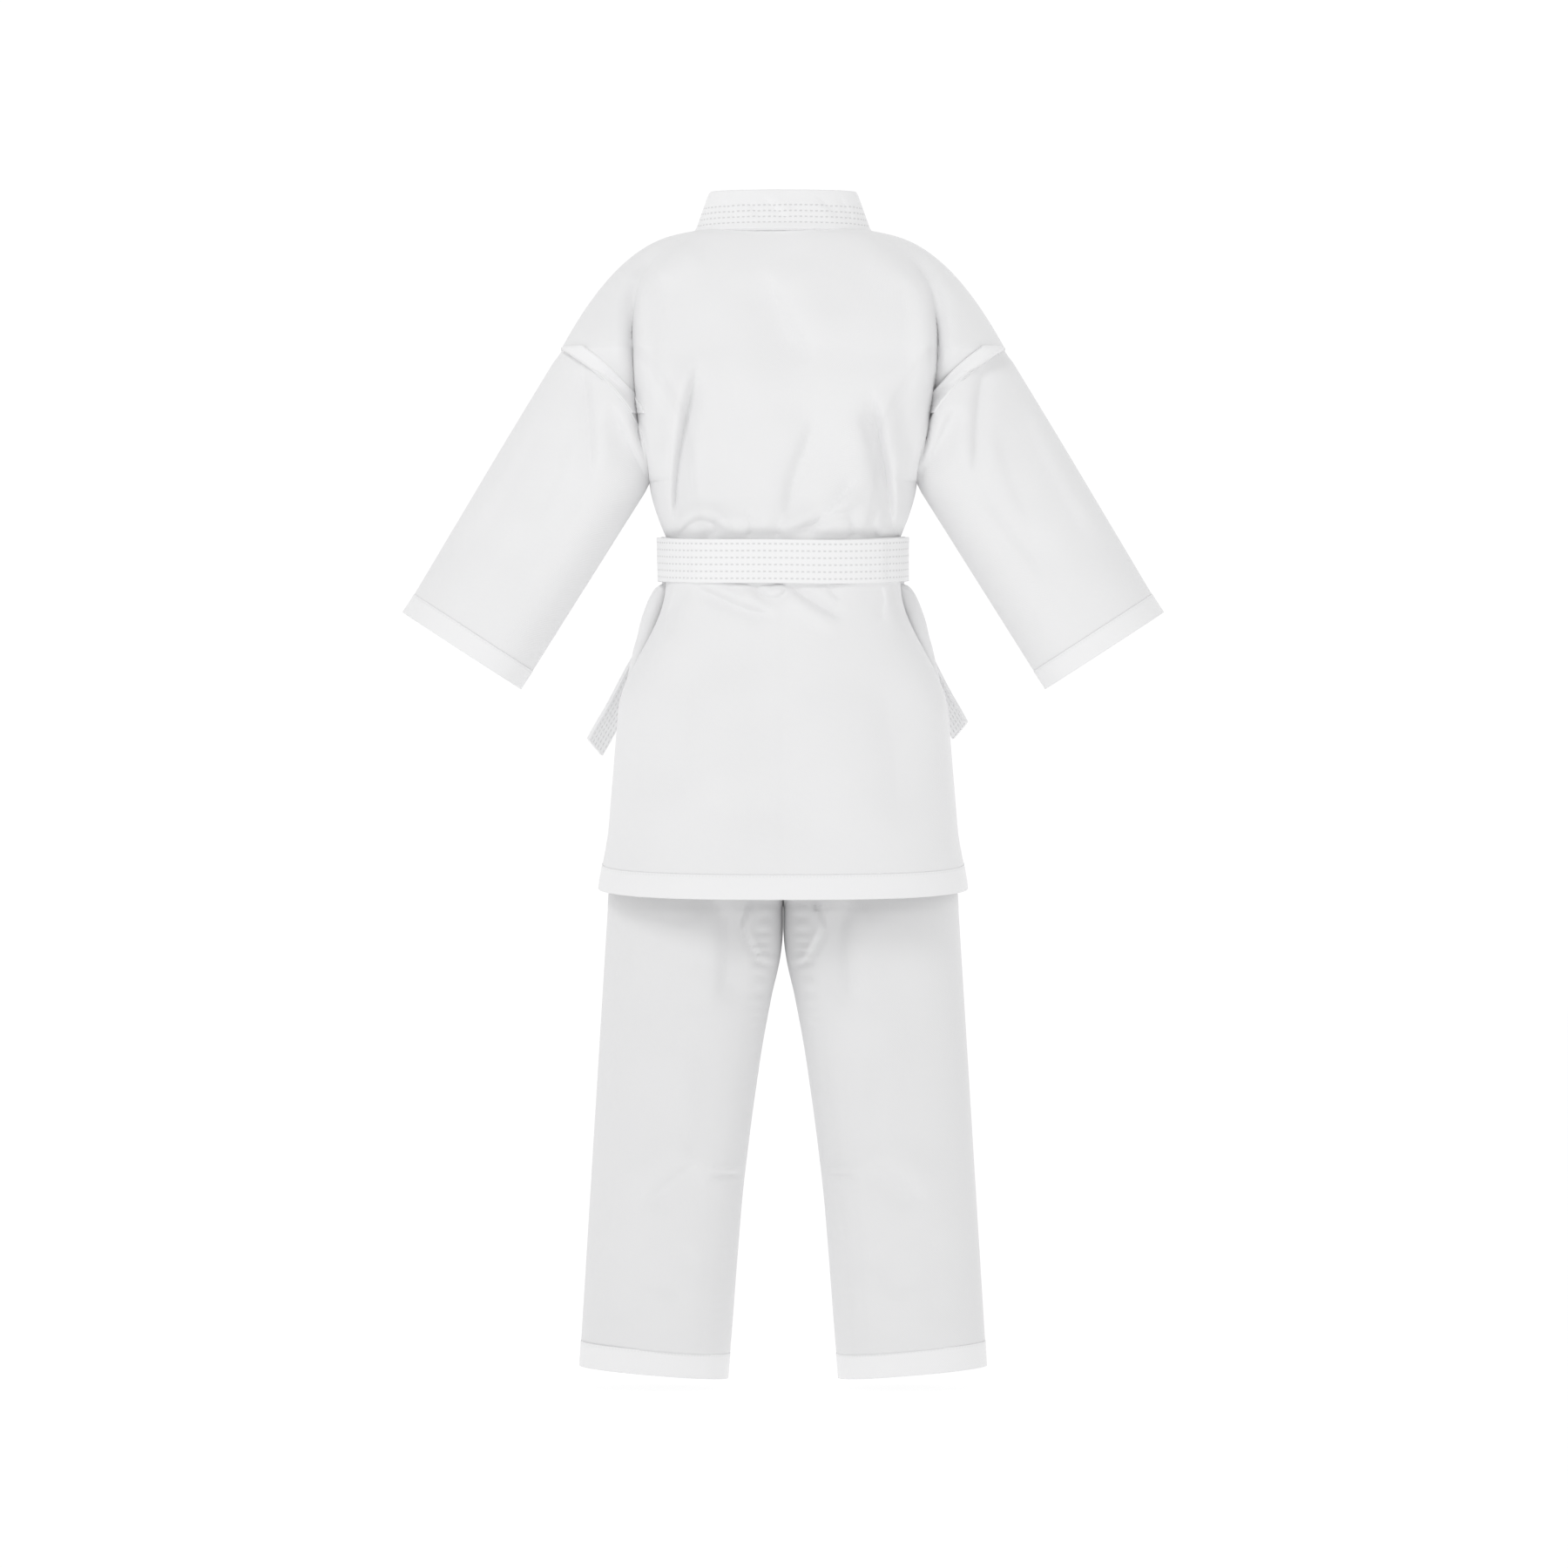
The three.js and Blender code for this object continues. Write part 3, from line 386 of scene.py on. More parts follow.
# ---------------------------------------------------------------- the jacket above the belt

def armhole(phi):
    """The sleeve seam: a quadratic Bezier curve in back elevation from the shoulder point to the
    underarm, with a sine for its depth."""
    t = (1 - np.cos(phi)) / 2
    corner_x, corner_z = SHOULDER_HALF - ARMHOLE_PULL_X, -SHOULDER_DROP - ARMHOLE_PULL_Z
    x = (1 - t) ** 2 * SHOULDER_HALF + 2 * t * (1 - t) * corner_x + t * t * UNDERARM_HALF
    z = -(1 - t) ** 2 * SHOULDER_DROP + 2 * t * (1 - t) * corner_z - t * t * UNDERARM_DROP
    return points(x, ARMHOLE_DEPTH * np.sin(phi), z)


def panel_edge(v):
    """Half width, depth, level and flatness of a body panel's outer edge: 0 to 1 over the shoulder,
    1 to 2 round the armhole, 2 to 2.6 down the side and 2.6 to 3 behind the belt."""
    v = np.asarray(v, float)
    over, arm, side = v <= 1, (v > 1) & (v <= 2), (v > 2) & (v <= 2.6)
    phi = np.pi * np.clip(v - 1, 0, 1)
    a = armhole(phi)
    q = np.clip((v - 2) / 0.6, 0, 1)
    share = np.clip(v, 0, 1)
    x = np.select([over, arm, side], [lerp(NECK_HALF, SHOULDER_HALF, v), a[..., 0],
                                      UNDERARM_HALF - (UNDERARM_HALF - WAIST_HALF) * q ** 1.5], WAIST_HALF)
    y = np.where(arm, np.maximum(a[..., 1], 0), 0)
    z = np.select([over, arm, side], [-SHOULDER_DROP * share ** SHOULDER_CURVE, a[..., 2],
                                      lerp(-UNDERARM_DROP, BELT_TOP, q)],
                  lerp(BELT_TOP, JACKET_LIP, np.clip((v - 2.6) / 0.4, 0, 1)))
    t = (1 - np.cos(phi)) / 2
    gentle = np.where(arm, smooth(t, 0, 0.3) * (1 - smooth(t, 0.75, 1)), 0)
    return x, y, z, gentle


def torso_depth(z):
    """Depth at the middle: a quarter sine down to the chest, then a cubic step in to the waist."""
    upper = np.sin(np.pi / 2 * np.clip(-z / CHEST_LEVEL, 0, 1)) ** 0.75
    return lerp(lerp(NECK_DEPTH, CHEST_DEPTH, upper), WAIST_DEPTH, smooth(-z, CHEST_LEVEL, -BELT_TOP))


def torso_point(side, s, v):
    """Jacket above the belt: each row is a superellipse from edge to edge through the middle depth,
    plus the depth of the sleeve seam close to the edge. side is 1 at the back and -1 at the front, s
    is the share of the half width."""
    x, y, z, gentle = panel_edge(v)
    f = lerp(np.clip(1 - np.abs(s) ** ROUNDNESS, 0, 1) ** (1 / ROUNDNESS), 1 - np.abs(s) ** 5, gentle)
    edge = y * np.abs(s) ** 14
    slope = np.maximum(0, 1 + z / UNDERARM_DROP)
    middle = z + NECK_ARCH * np.maximum(0, 1 - v) if side > 0 else z - FRONT_NECK_DROP * slope
    return points(x * s, side * (f * torso_depth(middle) + edge + SEAM_GAP / 2), lerp(z, middle, f))


LEFT_BACK_FOLDS = [
    ([(112, -12), (130, -34), (139, -52), (142.5, -76), (142.5, -108), (141, -140), (138.5, -177),
      (136, -196), (130, -226), (126, -250)], 7, 15, 0.4, 1),
    ([(139, -60), (143.5, -84), (143.5, -120), (141.5, -160), (138, -198), (131, -228)], 2.2, 9, 0.1, 1),
    ([(80, 2), (104, -10), (124, -26), (137, -52)], 11, 9, 0.4, 1),
    ([(78, -122), (88, -160), (98, -212), (102, -250), (103, -306)], 6.5, 13, 0.5, -1),
    ([(108, -205), (111, -240), (110, -304)], 7, 3, 0.4, 1),
]
RIGHT_BACK_FOLDS = [
    ([(-112, -14), (-134, -40), (-143, -60), (-146, -92), (-146, -120), (-143.5, -158), (-139.5, -184),
      (-135, -210), (-127, -250)], 7, 15, 0.4, -1),
    ([(-142, -64), (-147, -92), (-147, -122), (-144, -160), (-139, -192), (-131, -226)], 2.2, 9, 0.1, -1),
    ([(-80, 2), (-106, -12), (-127, -30), (-141, -56)], 11, 9, 0.4, -1),
    ([(-82, -150), (-90, -196), (-99, -244), (-105, -306)], 7, 12, 0.5, 1),
    ([(-70, -170), (-84, -205), (-94, -256)], 8, 3.6, 0.5, -1),
    ([(-112, -215), (-115, -250), (-113, -304)], 7, 3, 0.4, -1),
]
MIDDLE_BACK_FOLDS = [
    ([(24, -36), (8, -70), (-6, -98), (-28, -132)], 15, 6.5, 0.6, 1),
    ([(-34, -176), (-22, -212), (-10, -246), (-4, -300)], 13, 8, 0.5, -1),
    ([(46, -120), (52, -190), (62, -248)], 18, 3, 0.5, 1),
    ([(-2, -292), (-24, -287), (-48, -277), (-78, -266)], 5.5, 4, 0.7, 1),
    ([(-20, -302), (-30, -284), (-52, -262), (-72, -236)], 5.5, 4.2, 0.6, -1),
    ([(103, -300), (88, -284), (72, -282), (50, -296)], 5, 4.5, 0.8, 1),
    ([(36, -304), (30, -288), (34, -268)], 5, 2, 0.6, 1),
    ([(4, -304), (6, -288), (0, -270)], 5, 2, 0.6, -1),
    ([(-62, -304), (-66, -286), (-60, -270)], 5, 2.2, 0.6, 1),
    ([(-90, -304), (-86, -286), (-92, -266)], 5, 2.4, 0.6, -1),
    ([(70, -304), (64, -290), (66, -276)], 4, 2, 0.6, -1),
]
SLEEVE_BACK_FOLDS = [
    ([(198, -122), (190, -142), (185, -185), (184, -246)], 7, 6.5, 0.5, 1),
    ([(170, -166), (160, -184), (150, -206), (128, -250)], 9, 7.5, 0.5, 1),
    ([(222, -150), (236, -200), (262, -252), (300, -320)], 17, 4.2, 0.5, -1),
    ([(180, -226), (204, -268), (236, -308), (262, -344)], 15, 4.2, 0.5, 1),
    ([(205, -180), (216, -230), (242, -290)], 12, 3, 0.5, 1),
]
BACK_FOLDS = (LEFT_BACK_FOLDS + RIGHT_BACK_FOLDS + MIDDLE_BACK_FOLDS + SLEEVE_BACK_FOLDS
              + mirrored(SLEEVE_BACK_FOLDS))


def back_relief(mid, depth_scale):
    """Moves the back of the jacket and sleeves in depth by the folds' height, fading to nothing at
    the outline and where the belt presses."""
    x, y, z = mid[..., 0], mid[..., 1], mid[..., 2]
    height = fold_height(x, z, BACK_FOLDS) + unevenness(x, z, 5, 90, 1.1)
    torso = 1 - smooth(np.abs(x), 122, 138)
    height += torso * 5 * smooth(-z, 258, 284) * smooth(z, BELT_TOP - 3, BELT_TOP + 9)
    pressed = lerp(1, smooth(z, BELT_TOP - 8, BELT_TOP + 2), torso)
    out = mid.copy()
    out[..., 1] += depth_scale * height * smooth(y, 2, 26) * pressed
    return out


def back_panel_grid(s, v, depth_scale):
    """The back of the jacket with its folds."""
    return back_relief(torso_point(1, s, v), depth_scale)


def front_relief(mid, depth_scale):
    """The same for the front: soft folds from the shoulders to the belt."""
    x, y, z = mid[..., 0], mid[..., 1], mid[..., 2]
    folds = [([(132, -60), (136, -110), (126, -180), (120, -240)], 8, 6, 0.5, 1),
             ([(60, -120), (52, -190), (40, -262), (34, -304)], 9, 2.6, 0.6, 1),
             ([(92, -180), (90, -230), (80, -302)], 7, 3.2, 0.6, -1)]
    height = fold_height(x, z, folds + mirrored(folds)) + unevenness(x, z, 11, 85, 0.8)
    out = mid.copy()
    out[..., 1] -= depth_scale * height * smooth(-y, 2, 30) * smooth(z, BELT_TOP - 6, BELT_TOP + 6)
    return out


def locate_front(x, z):
    """Share of the half width and row of the front surface at x, z in front elevation, by halving
    the interval of rows forty times."""
    x, z = np.broadcast_arrays(np.asarray(x, float), np.asarray(z, float))
    low, high = np.zeros(x.shape), np.full(x.shape, 3.0)
    for _ in range(40):
        v = (low + high) / 2
        half = panel_edge(v)[0]
        outside = (np.abs(x) > half) & (v < 1)
        above = torso_point(-1, np.clip(x / half, -1, 1), v)[..., 2] > z
        low, high = np.where(outside | above, v, low), np.where(outside | above, high, v)
    v = (low + high) / 2
    return np.clip(x / panel_edge(v)[0], -1, 1), v


def lapel_line(z):
    """Outer edge of the wearer's left lapel: straight to the crossing, then past the middle."""
    below = np.clip((-z - LAPEL_CROSSING) / (-JACKET_LIP - LAPEL_CROSSING), 0, None)
    return np.where(-z < LAPEL_CROSSING, NECK_HALF * (1 + z / LAPEL_CROSSING), -LAPEL_AT_BELT * below ** 0.9)


def turn_room(z):
    """Extra room where the collar turns over the shoulder."""
    return 1 - smooth(-z, 40, 80)


def tuck(z):
    """Where the right front slips under the left one."""
    return smooth(-z, 20, 120)


def under_layer(s):
    """The right front lies deeper, except at its own edge."""
    return -UNDER_LAYER * smooth(1 - np.abs(s), 0.02, 0.14)


def front_panel_grid(v):
    """A front panel: each row runs from the lapel line to the outer edge that it shares with the back."""
    rows = [0, .06, .16, .3, .46, .64, .82, *np.linspace(1, 2, 9), 2.3, 2.6, 3]
    z = lerp(-3, JACKET_LIP, np.interp(v, rows, np.linspace(0, 1, len(rows))) ** 1.05)[:, None]
    s0, v0 = locate_front(lapel_line(z) + SEAM_GAP + 2 * turn_room(z) - 6, z)
    u = np.linspace(0, 1, 90)[None, :]
    angle = lerp(np.arcsin(spow(s0, ROUNDNESS / 2)), np.pi / 2, u)
    s = spow(np.sin(angle), 2 / ROUNDNESS)
    row = lerp(v0, np.maximum(v, 0.004)[:, None], u * (2 - u))
    mid = torso_point(-1, s, row)
    return mid, s


def lapel_grid():
    """A lapel: it stands up beside the neck, lies down over LAPEL_TURN and runs to the belt. Each row
    is a mix of a standing and a lying direction, square to the line of its outer edge."""
    z = np.concatenate([[0.0], -spread((0.5, 0), (20, 24), (95, 40), (-JACKET_LIP, 90))])
    room = 2 * SEAM_GAP + 2.8 * turn_room(z)
    s, v = locate_front(lapel_line(z) - room, z)
    edge = torso_point(-1, s, v)
    edge[:, 2] += COLLAR_LIFT * (1 - smooth(-z, 0, LAPEL_TURN))
    edge[0] = (NECK_HALF, -SEAM_GAP / 2, COLLAR_LIFT)
    line = unit(np.gradient(edge, axis=0))
    stand = unit(np.array([-COLLAR_LEAN, 0, COLLAR_HEIGHT]))
    up = unit(stand - line * (line @ stand)[:, None])
    up[0] = stand
    w = np.linspace(0, 1, 16)
    across = (lapel_line(z) - room)[:, None] - w * LAPEL_WIDTH * 1.08
    s, v = locate_front(across, np.repeat(z[:, None], 16, 1))
    flat = torso_point(-1, s, v) - edge[:, None]
    w = (w * LAPEL_WIDTH)[None, :, None]
    rise = up[:, None] * w
    lie = smooth(-z, 0, LAPEL_TURN)[:, None, None]
    mixed = lerp(rise, flat, lie)
    reach = np.linalg.norm(flat, axis=2, keepdims=True)
    length = lerp(w, np.minimum(reach, w * 1.12), lie)
    mid = edge[:, None] + np.where(lie >= 1, flat, unit(mixed) * length)
    mid[-1, :, 2] = JACKET_LIP
    return mid, z


def collar_grid():
    """The standing collar behind the neck: superellipses that shrink and lean in with height, with
    the upper corners eased down."""
    w = np.linspace(0, 1, 40)[:, None]
    s = np.sin(np.pi / 2 * np.linspace(-1, 1, 200))[None, :]
    c = (1 - np.abs(s) ** ROUNDNESS).clip(0) ** (1 / ROUNDNESS)
    foot = 1 - smooth(w, 0.0, 0.12)
    x = (NECK_HALF - COLLAR_LEAN * w + 1.2 * foot) * s
    y = (NECK_DEPTH - COLLAR_BACK_LEAN * w + 2.6 * foot) * c + SEAM_GAP / 2
    z = COLLAR_LIFT + NECK_ARCH * (c * (1 - w) + 0.75 * w) + COLLAR_HEIGHT * w
    z = z - 3.2 * foot * smooth(c, 0, 0.4) - 1.4 * w ** 4 * smooth(np.abs(s), 0.965, 1)
    mid = points(x, y, z)
    creases = [([(60, 34), (52, 22), (44, 10)], 3, 0.8, 0.6, 1),
               ([(22, 36), (8, 22), (-6, 8)], 3.4, 0.9, 0.6, 1),
               ([(-30, 36), (-42, 24), (-56, 10)], 3.4, 0.9, 0.6, -1),
               ([(-52, 36), (-60, 22), (-66, 8)], 3, 0.8, 0.6, 1),
               ([(36, 30), (26, 18), (20, 6)], 3, 0.6, 0.6, -1)]
    mid[..., 1] += smooth(mid[..., 1], 4, 20) * (fold_height(mid[..., 0], mid[..., 2], creases)
                                                 + unevenness(mid[..., 0], mid[..., 2], 3, 30, 0.25))
    return mid


# ---------------------------------------------------------------- sleeves

def cuff_point(phi, back):
    """The cuff: a flattened ellipse square to the sleeve, back millimetres up from its end."""
    across = np.array([np.cos(CUFF_TILT), 0, np.sin(CUFF_TILT)])
    axis = np.array([np.sin(CUFF_TILT), 0, -np.cos(CUFF_TILT)])
    c, d = spow(np.cos(phi), 0.9), spow(np.sin(phi), 0.9)
    p = CUFF_OUTER + across * (CUFF_WIDTH / 2) * (c - 1)[..., None]
    p[..., 1] = CUFF_DEPTH * d
    return p - axis * np.asarray(back)[..., None]


def sleeve_grid(depth_scale):
    """A sleeve: straight lines from the sleeve seam to the cuff, with the folds of the back."""
    axis = np.array([np.sin(CUFF_TILT), 0, -np.cos(CUFF_TILT)])
    phi = turns(150)[None, :]
    t = spread((0, 0), (0.3, 60), (1, 80))[:, None]
    start = armhole(np.where(phi > np.pi, 2 * np.pi - phi, phi))
    start[..., 1] = np.where(phi > np.pi, -start[..., 1], start[..., 1])
    start = start - axis * 2.0
    mid = lerp(start, cuff_point(phi, SLEEVE_HEM + 0.2), t[..., None])
    centre = mid.mean(1, keepdims=True)
    mid = centre + (mid - centre) * (1 - 0.014 * (1 - smooth(t, 0.02, 0.07)))[..., None]
    back = back_relief(mid, depth_scale)
    front = mid * [1, -1, 1]
    front = back_relief(front, 0.7 * depth_scale) * [1, -1, 1]
    return np.where((mid[..., 1] > 0)[..., None], back, front)


# ---------------------------------------------------------------- belt

def waist_ring(rows, count, out, sag=0.0):
    """A ring round the waist, out millimetres outside the jacket, that sags at the middle of the back."""
    phi = turns(count)[None, :]
    c, d = spow(np.cos(phi), 2 / ROUNDNESS), spow(np.sin(phi), 2 / ROUNDNESS)
    z = np.asarray(rows, float)[:, None] - sag * np.clip(d, 0, 1) ** 1.4
    return points((WAIST_HALF + out) * c, (WAIST_DEPTH + SEAM_GAP / 2 + out) * d, z + 0 * c)


def belt_ring(out, drop, sag, seed):
    """One wrap of the belt, gently uneven, with a soft press fold near one side."""
    rows = np.linspace(BELT_TOP, BELT_BOTTOM, 44)
    mid = waist_ring(rows, 420, out, sag)
    x, z = mid[..., 0], mid[..., 2]
    back = smooth(mid[..., 1], 20, 70)
    wave = unevenness(x, z, seed, 70, 0.35)
    wave += back * fold_height(x, z, [([(-99, -290), (-100, -315), (-99, -345)], 4, 0.9, 0.7, -1),
                                      ([(92, -290), (90, -318), (93, -345)], 5, 0.6, 0.6, 1)])
    scale = 1 + (wave / np.hypot(x, mid[..., 1]))[..., None] * [1, 1, 0]
    mid = mid * scale
    mid[..., 2] += drop * smooth(x, -40, 110) * back - 0.5 * np.sin(x / 31 + seed)
    return mid


def quilted(mid, ply, first, step, count, dip=0.14, across=0):
    """Thickness of a quilted band: the full ply between the stitch rows and less along them."""
    v = lengths_along(mid, across, False)
    v = v[:, :mid.shape[1]]
    rows = first + step * np.arange(count)
    near = np.min(np.abs(v[..., None] - rows), axis=-1)
    return ply - dip * np.exp(-(near / 1.2) ** 2)


def knot_wrap(turn, width, height, depth, forward, bulge=0.22):
    """One turn of the knot: a flattened ring round the X axis, narrowed towards its edges and turned
    about the Y axis."""
    w = np.linspace(-1, 1, 30)[:, None]
    phi = turns(96)[None, :]
    scale = 1 - bulge * np.abs(w) ** 3
    x = w * width / 2 + 0 * phi
    y = -depth / 2 * spow(np.sin(phi), 0.75) * scale
    z = height / 2 * spow(np.cos(phi), 0.75) * scale
    c, s = np.cos(turn), np.sin(turn)
    mid = points(c * x - s * z, y, s * x + c * z)
    return mid + [0, KNOT_BACK - KNOT_DEPTH / 2 - forward, KNOT_LEVEL]


def tail_grid():
    """A belt end: a quadratic Bezier path from the side of the knot, kept in front of the skirt; the
    band turns to face sideways as it falls, and its tip is cut a little aslant."""
    start = np.array([KNOT_WIDTH / 2 - 6, KNOT_BACK - KNOT_DEPTH / 2, KNOT_LEVEL])
    bend = np.array([start[0] + TAIL_BEND + 6, start[1], KNOT_LEVEL - 8])
    tip = np.array([KNOT_WIDTH / 2 + TAIL_REACH, TAIL_TIP_Y, KNOT_LEVEL - TAIL_DROP])
    t = np.linspace(0, 1, 120)[:, None]
    centre = (1 - t) ** 2 * start + 2 * t * (1 - t) * bend + t * t * tip
    half, depth = skirt_size(-1, centre[:, 2])
    share = np.clip(centre[:, 0] / (half + 26), 0, 1)
    skin = -depth * (1 - share ** SKIRT_ROUNDNESS) ** (1 / SKIRT_ROUNDNESS)
    skin = np.where(centre[:, 2] < SKIRT_TOP, skin, -50)
    centre[:, 1] = np.minimum(centre[:, 1], skin - TAIL_FORWARD - BELT_PLY / 2)
    kernel = np.ones(9) / 9
    padded = np.pad(centre[:, 1], 4, mode="edge")
    centre[:, 1] = np.convolve(padded, kernel, "valid")
    along = unit(np.gradient(centre, axis=0))
    face = lerp(np.array([0, -1.0, 0]), np.array([0.93, -0.35, 0]), smooth(t, 0.15, 0.95))
    wide = unit(np.cross(along, face))
    w = np.linspace(-0.5, 0.5, 36)
    mid = centre[:, None] + wide[:, None] * (w * TAIL_WIDTH)[None, :, None]
    mid += along[:, None] * (smooth(t, 0.85, 1) * (4 * w))[..., None]
    ripple = 0.7 * np.sin(t * 21 + 4 * w) * smooth(t, 0.2, 0.6)
    return mid + np.cross(wide, along)[:, None] * ripple[..., None]


# ---------------------------------------------------------------- skirt

def skirt_share(z):
    """How far down the skirt a level is, 0 at the belt and 1 at the hem."""
    return np.clip((SKIRT_TOP - z) / (SKIRT_TOP - SKIRT_BOTTOM), 0, 1.1)


def skirt_size(side, z):
    """Half width and depth of the skirt at a level: the back widens by cubic steps, the front as a
    square root, so that the front's sides show above the hips."""
    q = skirt_share(z)
    if side > 0:
        half = 112 + 36 * smooth(q, 0.02, 0.42) + 24 * q + 5 * smooth(q, 0.8, 1.02)
    else:
        half = 116 + 60 * q ** 0.5 - 4.5 * smooth(q, 0.3, 0.6)
    depth = SKIRT_BACK_DEPTH if side > 0 else SKIRT_FRONT_DEPTH
    return half, lerp(WAIST_DEPTH + 3, depth, q ** 0.9)


def skirt_point(side, s, z):
    """Skirt: a superellipse at each level, lower at the middle towards the hem."""
    half, depth = skirt_size(side, z)
    c = np.clip(1 - np.abs(s) ** SKIRT_ROUNDNESS, 0, 1) ** (1 / SKIRT_ROUNDNESS)
    proud = side_overlap(z) if side > 0 else 0.6
    return points(half * s, side * (proud + (depth - proud) * c), z - skirt_share(z) * SKIRT_SAG * c)


def side_overlap(z):
    """How far the edge of the back skirt lies behind the side, over the front skirt's edge."""
    return 1.6 + 14 * (1 - smooth(skirt_share(z), 0.3, 0.6))


SKIRT_BACK_FOLDS = [
    ([(96, -334), (78, -346), (56, -357), (34, -366), (4, -374)], 5.5, 5.5, 0.7, 1),
    ([(30, -336), (22, -350), (12, -356), (0, -352), (-8, -336)], 4, 3.2, 0.7, 1),
    ([(0, -334), (-14, -350), (-30, -361), (-60, -378)], 5, 4.2, 0.7, -1),
    ([(-42, -340), (-46, -350), (-56, -358)], 4, 1.8, 0.6, -1),
    ([(-90, -338), (-95, -356), (-93, -380)], 4.5, 2.6, 0.7, 1),
    ([(101, -336), (103, -357), (109, -374), (110, -400)], 5, 2.4, 0.6, -1),
    ([(58, -340), (46, -347), (36, -352)], 4, 1.8, 0.5, 1),
    ([(-104, -338), (-110, -362), (-122, -392)], 6, 2.2, 0.6, -1),
    ([(86, -400), (96, -470), (104, -560)], 24, 4.5, 0.5, 1),
    ([(-92, -420), (-108, -500), (-112, -590)], 26, 5, 0.5, -1),
    ([(10, -430), (4, -500), (14, -590)], 28, 3.2, 0.5, 1),
]
SKIRT_SIDE_FOLDS = [
    ([(106, -338), (118, -352), (124, -376), (132, -410)], 3.6, 3.4, 0.7, 1),
    ([(116, -338), (128, -356), (137, -392), (146, -430)], 3.4, 3.0, 0.7, 1),
    ([(150, -376), (141, -392), (142, -412)], 4, 2.2, 0.6, -1),
    ([(40, -340), (46, -400), (52, -500)], 12, 2.2, 0.5, 1),
    ([(84, -340), (96, -380), (110, -470)], 9, 2.6, 0.5, 1),
]


def skirt_relief(mid, side, depth_scale, seed):
    """Folds of the skirt: gathers that hang from the belt and wide soft waves below."""
    x, y, z = mid[..., 0], mid[..., 1], mid[..., 2]
    folds = SKIRT_BACK_FOLDS if side > 0 else SKIRT_SIDE_FOLDS + mirrored(SKIRT_SIDE_FOLDS)
    gathers = np.sin(x / 5.2 + 1.7 * np.sin(x / 17)) * 0.9 * smooth(z, -372, -345)
    height = fold_height(x, z, folds) + unevenness(x, z, seed, 110, 1.5) + gathers
    calm = smooth(-z, 338, 350) * (1 - 0.75 * smooth(-z, 560, 606))
    out = mid.copy()
    edge = smooth(np.abs(y), 2, 26) if side > 0 else smooth(np.abs(y), 0.5, 9)
    out[..., 1] += side * depth_scale * height * calm * edge
    if side < 0:
        out[..., 0] += np.sign(x) * 0.35 * depth_scale * height * calm * (1 - smooth(np.abs(y), 4, 60))
    return out


def back_skirt_grid(z, depth_scale):
    """The back of the skirt, with its gathers."""
    s = np.sin(np.pi / 2 * np.linspace(-1, 1, 230))[None, :]
    return skirt_relief(skirt_point(1, s, np.asarray(z)[:, None]), 1, depth_scale, 21)


def tail_line(z):
    """The edge of the front skirt's band, past the middle."""
    return lerp(-LAPEL_AT_BELT, -LAPEL_AT_HEM, skirt_share(z))


def front_skirt_grid(z, start, end, count, depth_scale):
    """Part of a front skirt between two lines in front elevation; the last line may be the side."""
    z = np.asarray(z)[:, None]
    half = skirt_size(-1, z)[0]
    a = np.arcsin(spow(np.clip(start(z) / half, -1, 1), SKIRT_ROUNDNESS / 2))
    b = np.pi / 2 if end is None else np.arcsin(spow(np.clip(end(z) / half, -1, 1), SKIRT_ROUNDNESS / 2))
    s = spow(np.sin(lerp(a, b, np.linspace(0, 1, count)[None, :])), 2 / SKIRT_ROUNDNESS)
    mid = skirt_relief(skirt_point(-1, s, z), -1, depth_scale, 31)
    if end is None:
        # the side edge turns in under the back skirt as part of an ellipse
        psi = np.linspace(0, 1, 22)[None, 1:] * np.pi * 0.66
        inward, back = 4 + 0.5 * side_overlap(z), side_overlap(z) - 4.5
        last = mid[:, -1:, :]
        curl = points(last[..., 0] - inward * (1 - np.cos(psi)),
                      last[..., 1] + np.maximum(back, 0.3) * np.sin(psi) ** 0.8, last[..., 2] + 0 * psi)
        mid = np.concatenate([mid, curl], 1)
        s = np.concatenate([s + 0 * z, np.ones((len(z), curl.shape[1]))], 1)
    return mid, s


# ---------------------------------------------------------------- trousers

def inseam_share(q):
    """Course of the inside of the leg, from the crotch (0) to the hem (1)."""
    return np.interp(q, [0, 0.14, 0.22, 0.29, 0.445, 0.6, 0.75, 0.9, 1, 1.2],
                     [0, 0.08, 0.22, 0.34, 0.54, 0.71, 0.82, 0.92, 1, 1.08])


def leg_section(z):
    """Outer and inner reach and depth of a leg at a level."""
    q = (CROTCH - z) / (CROTCH - LEG_BOTTOM)
    kernel = sum(inseam_share(np.maximum(q + d, 0)) for d in (-0.04, -0.02, 0, 0.02, 0.04)) / 5
    inner = lerp(0.8, lerp(THIGH_INNER, LEG_HEM_INNER, kernel), smooth(-z, 668, 735))
    return (lerp(THIGH_OUTER, LEG_HEM_OUTER, q), inner,
            lerp(THIGH_DEPTH, LEG_HEM_DEPTH, np.clip(q, 0, 1)))


def leg_point(turn, z):
    """A leg: a superellipse at each level; turn 0 is the outside and half a turn the inside."""
    outer, inner, depth = leg_section(z)
    e = 2 / LEG_ROUNDNESS
    x = (outer + inner) / 2 + (outer - inner) / 2 * spow(np.cos(turn), e)
    return points(x, depth * spow(np.sin(turn), e), z)


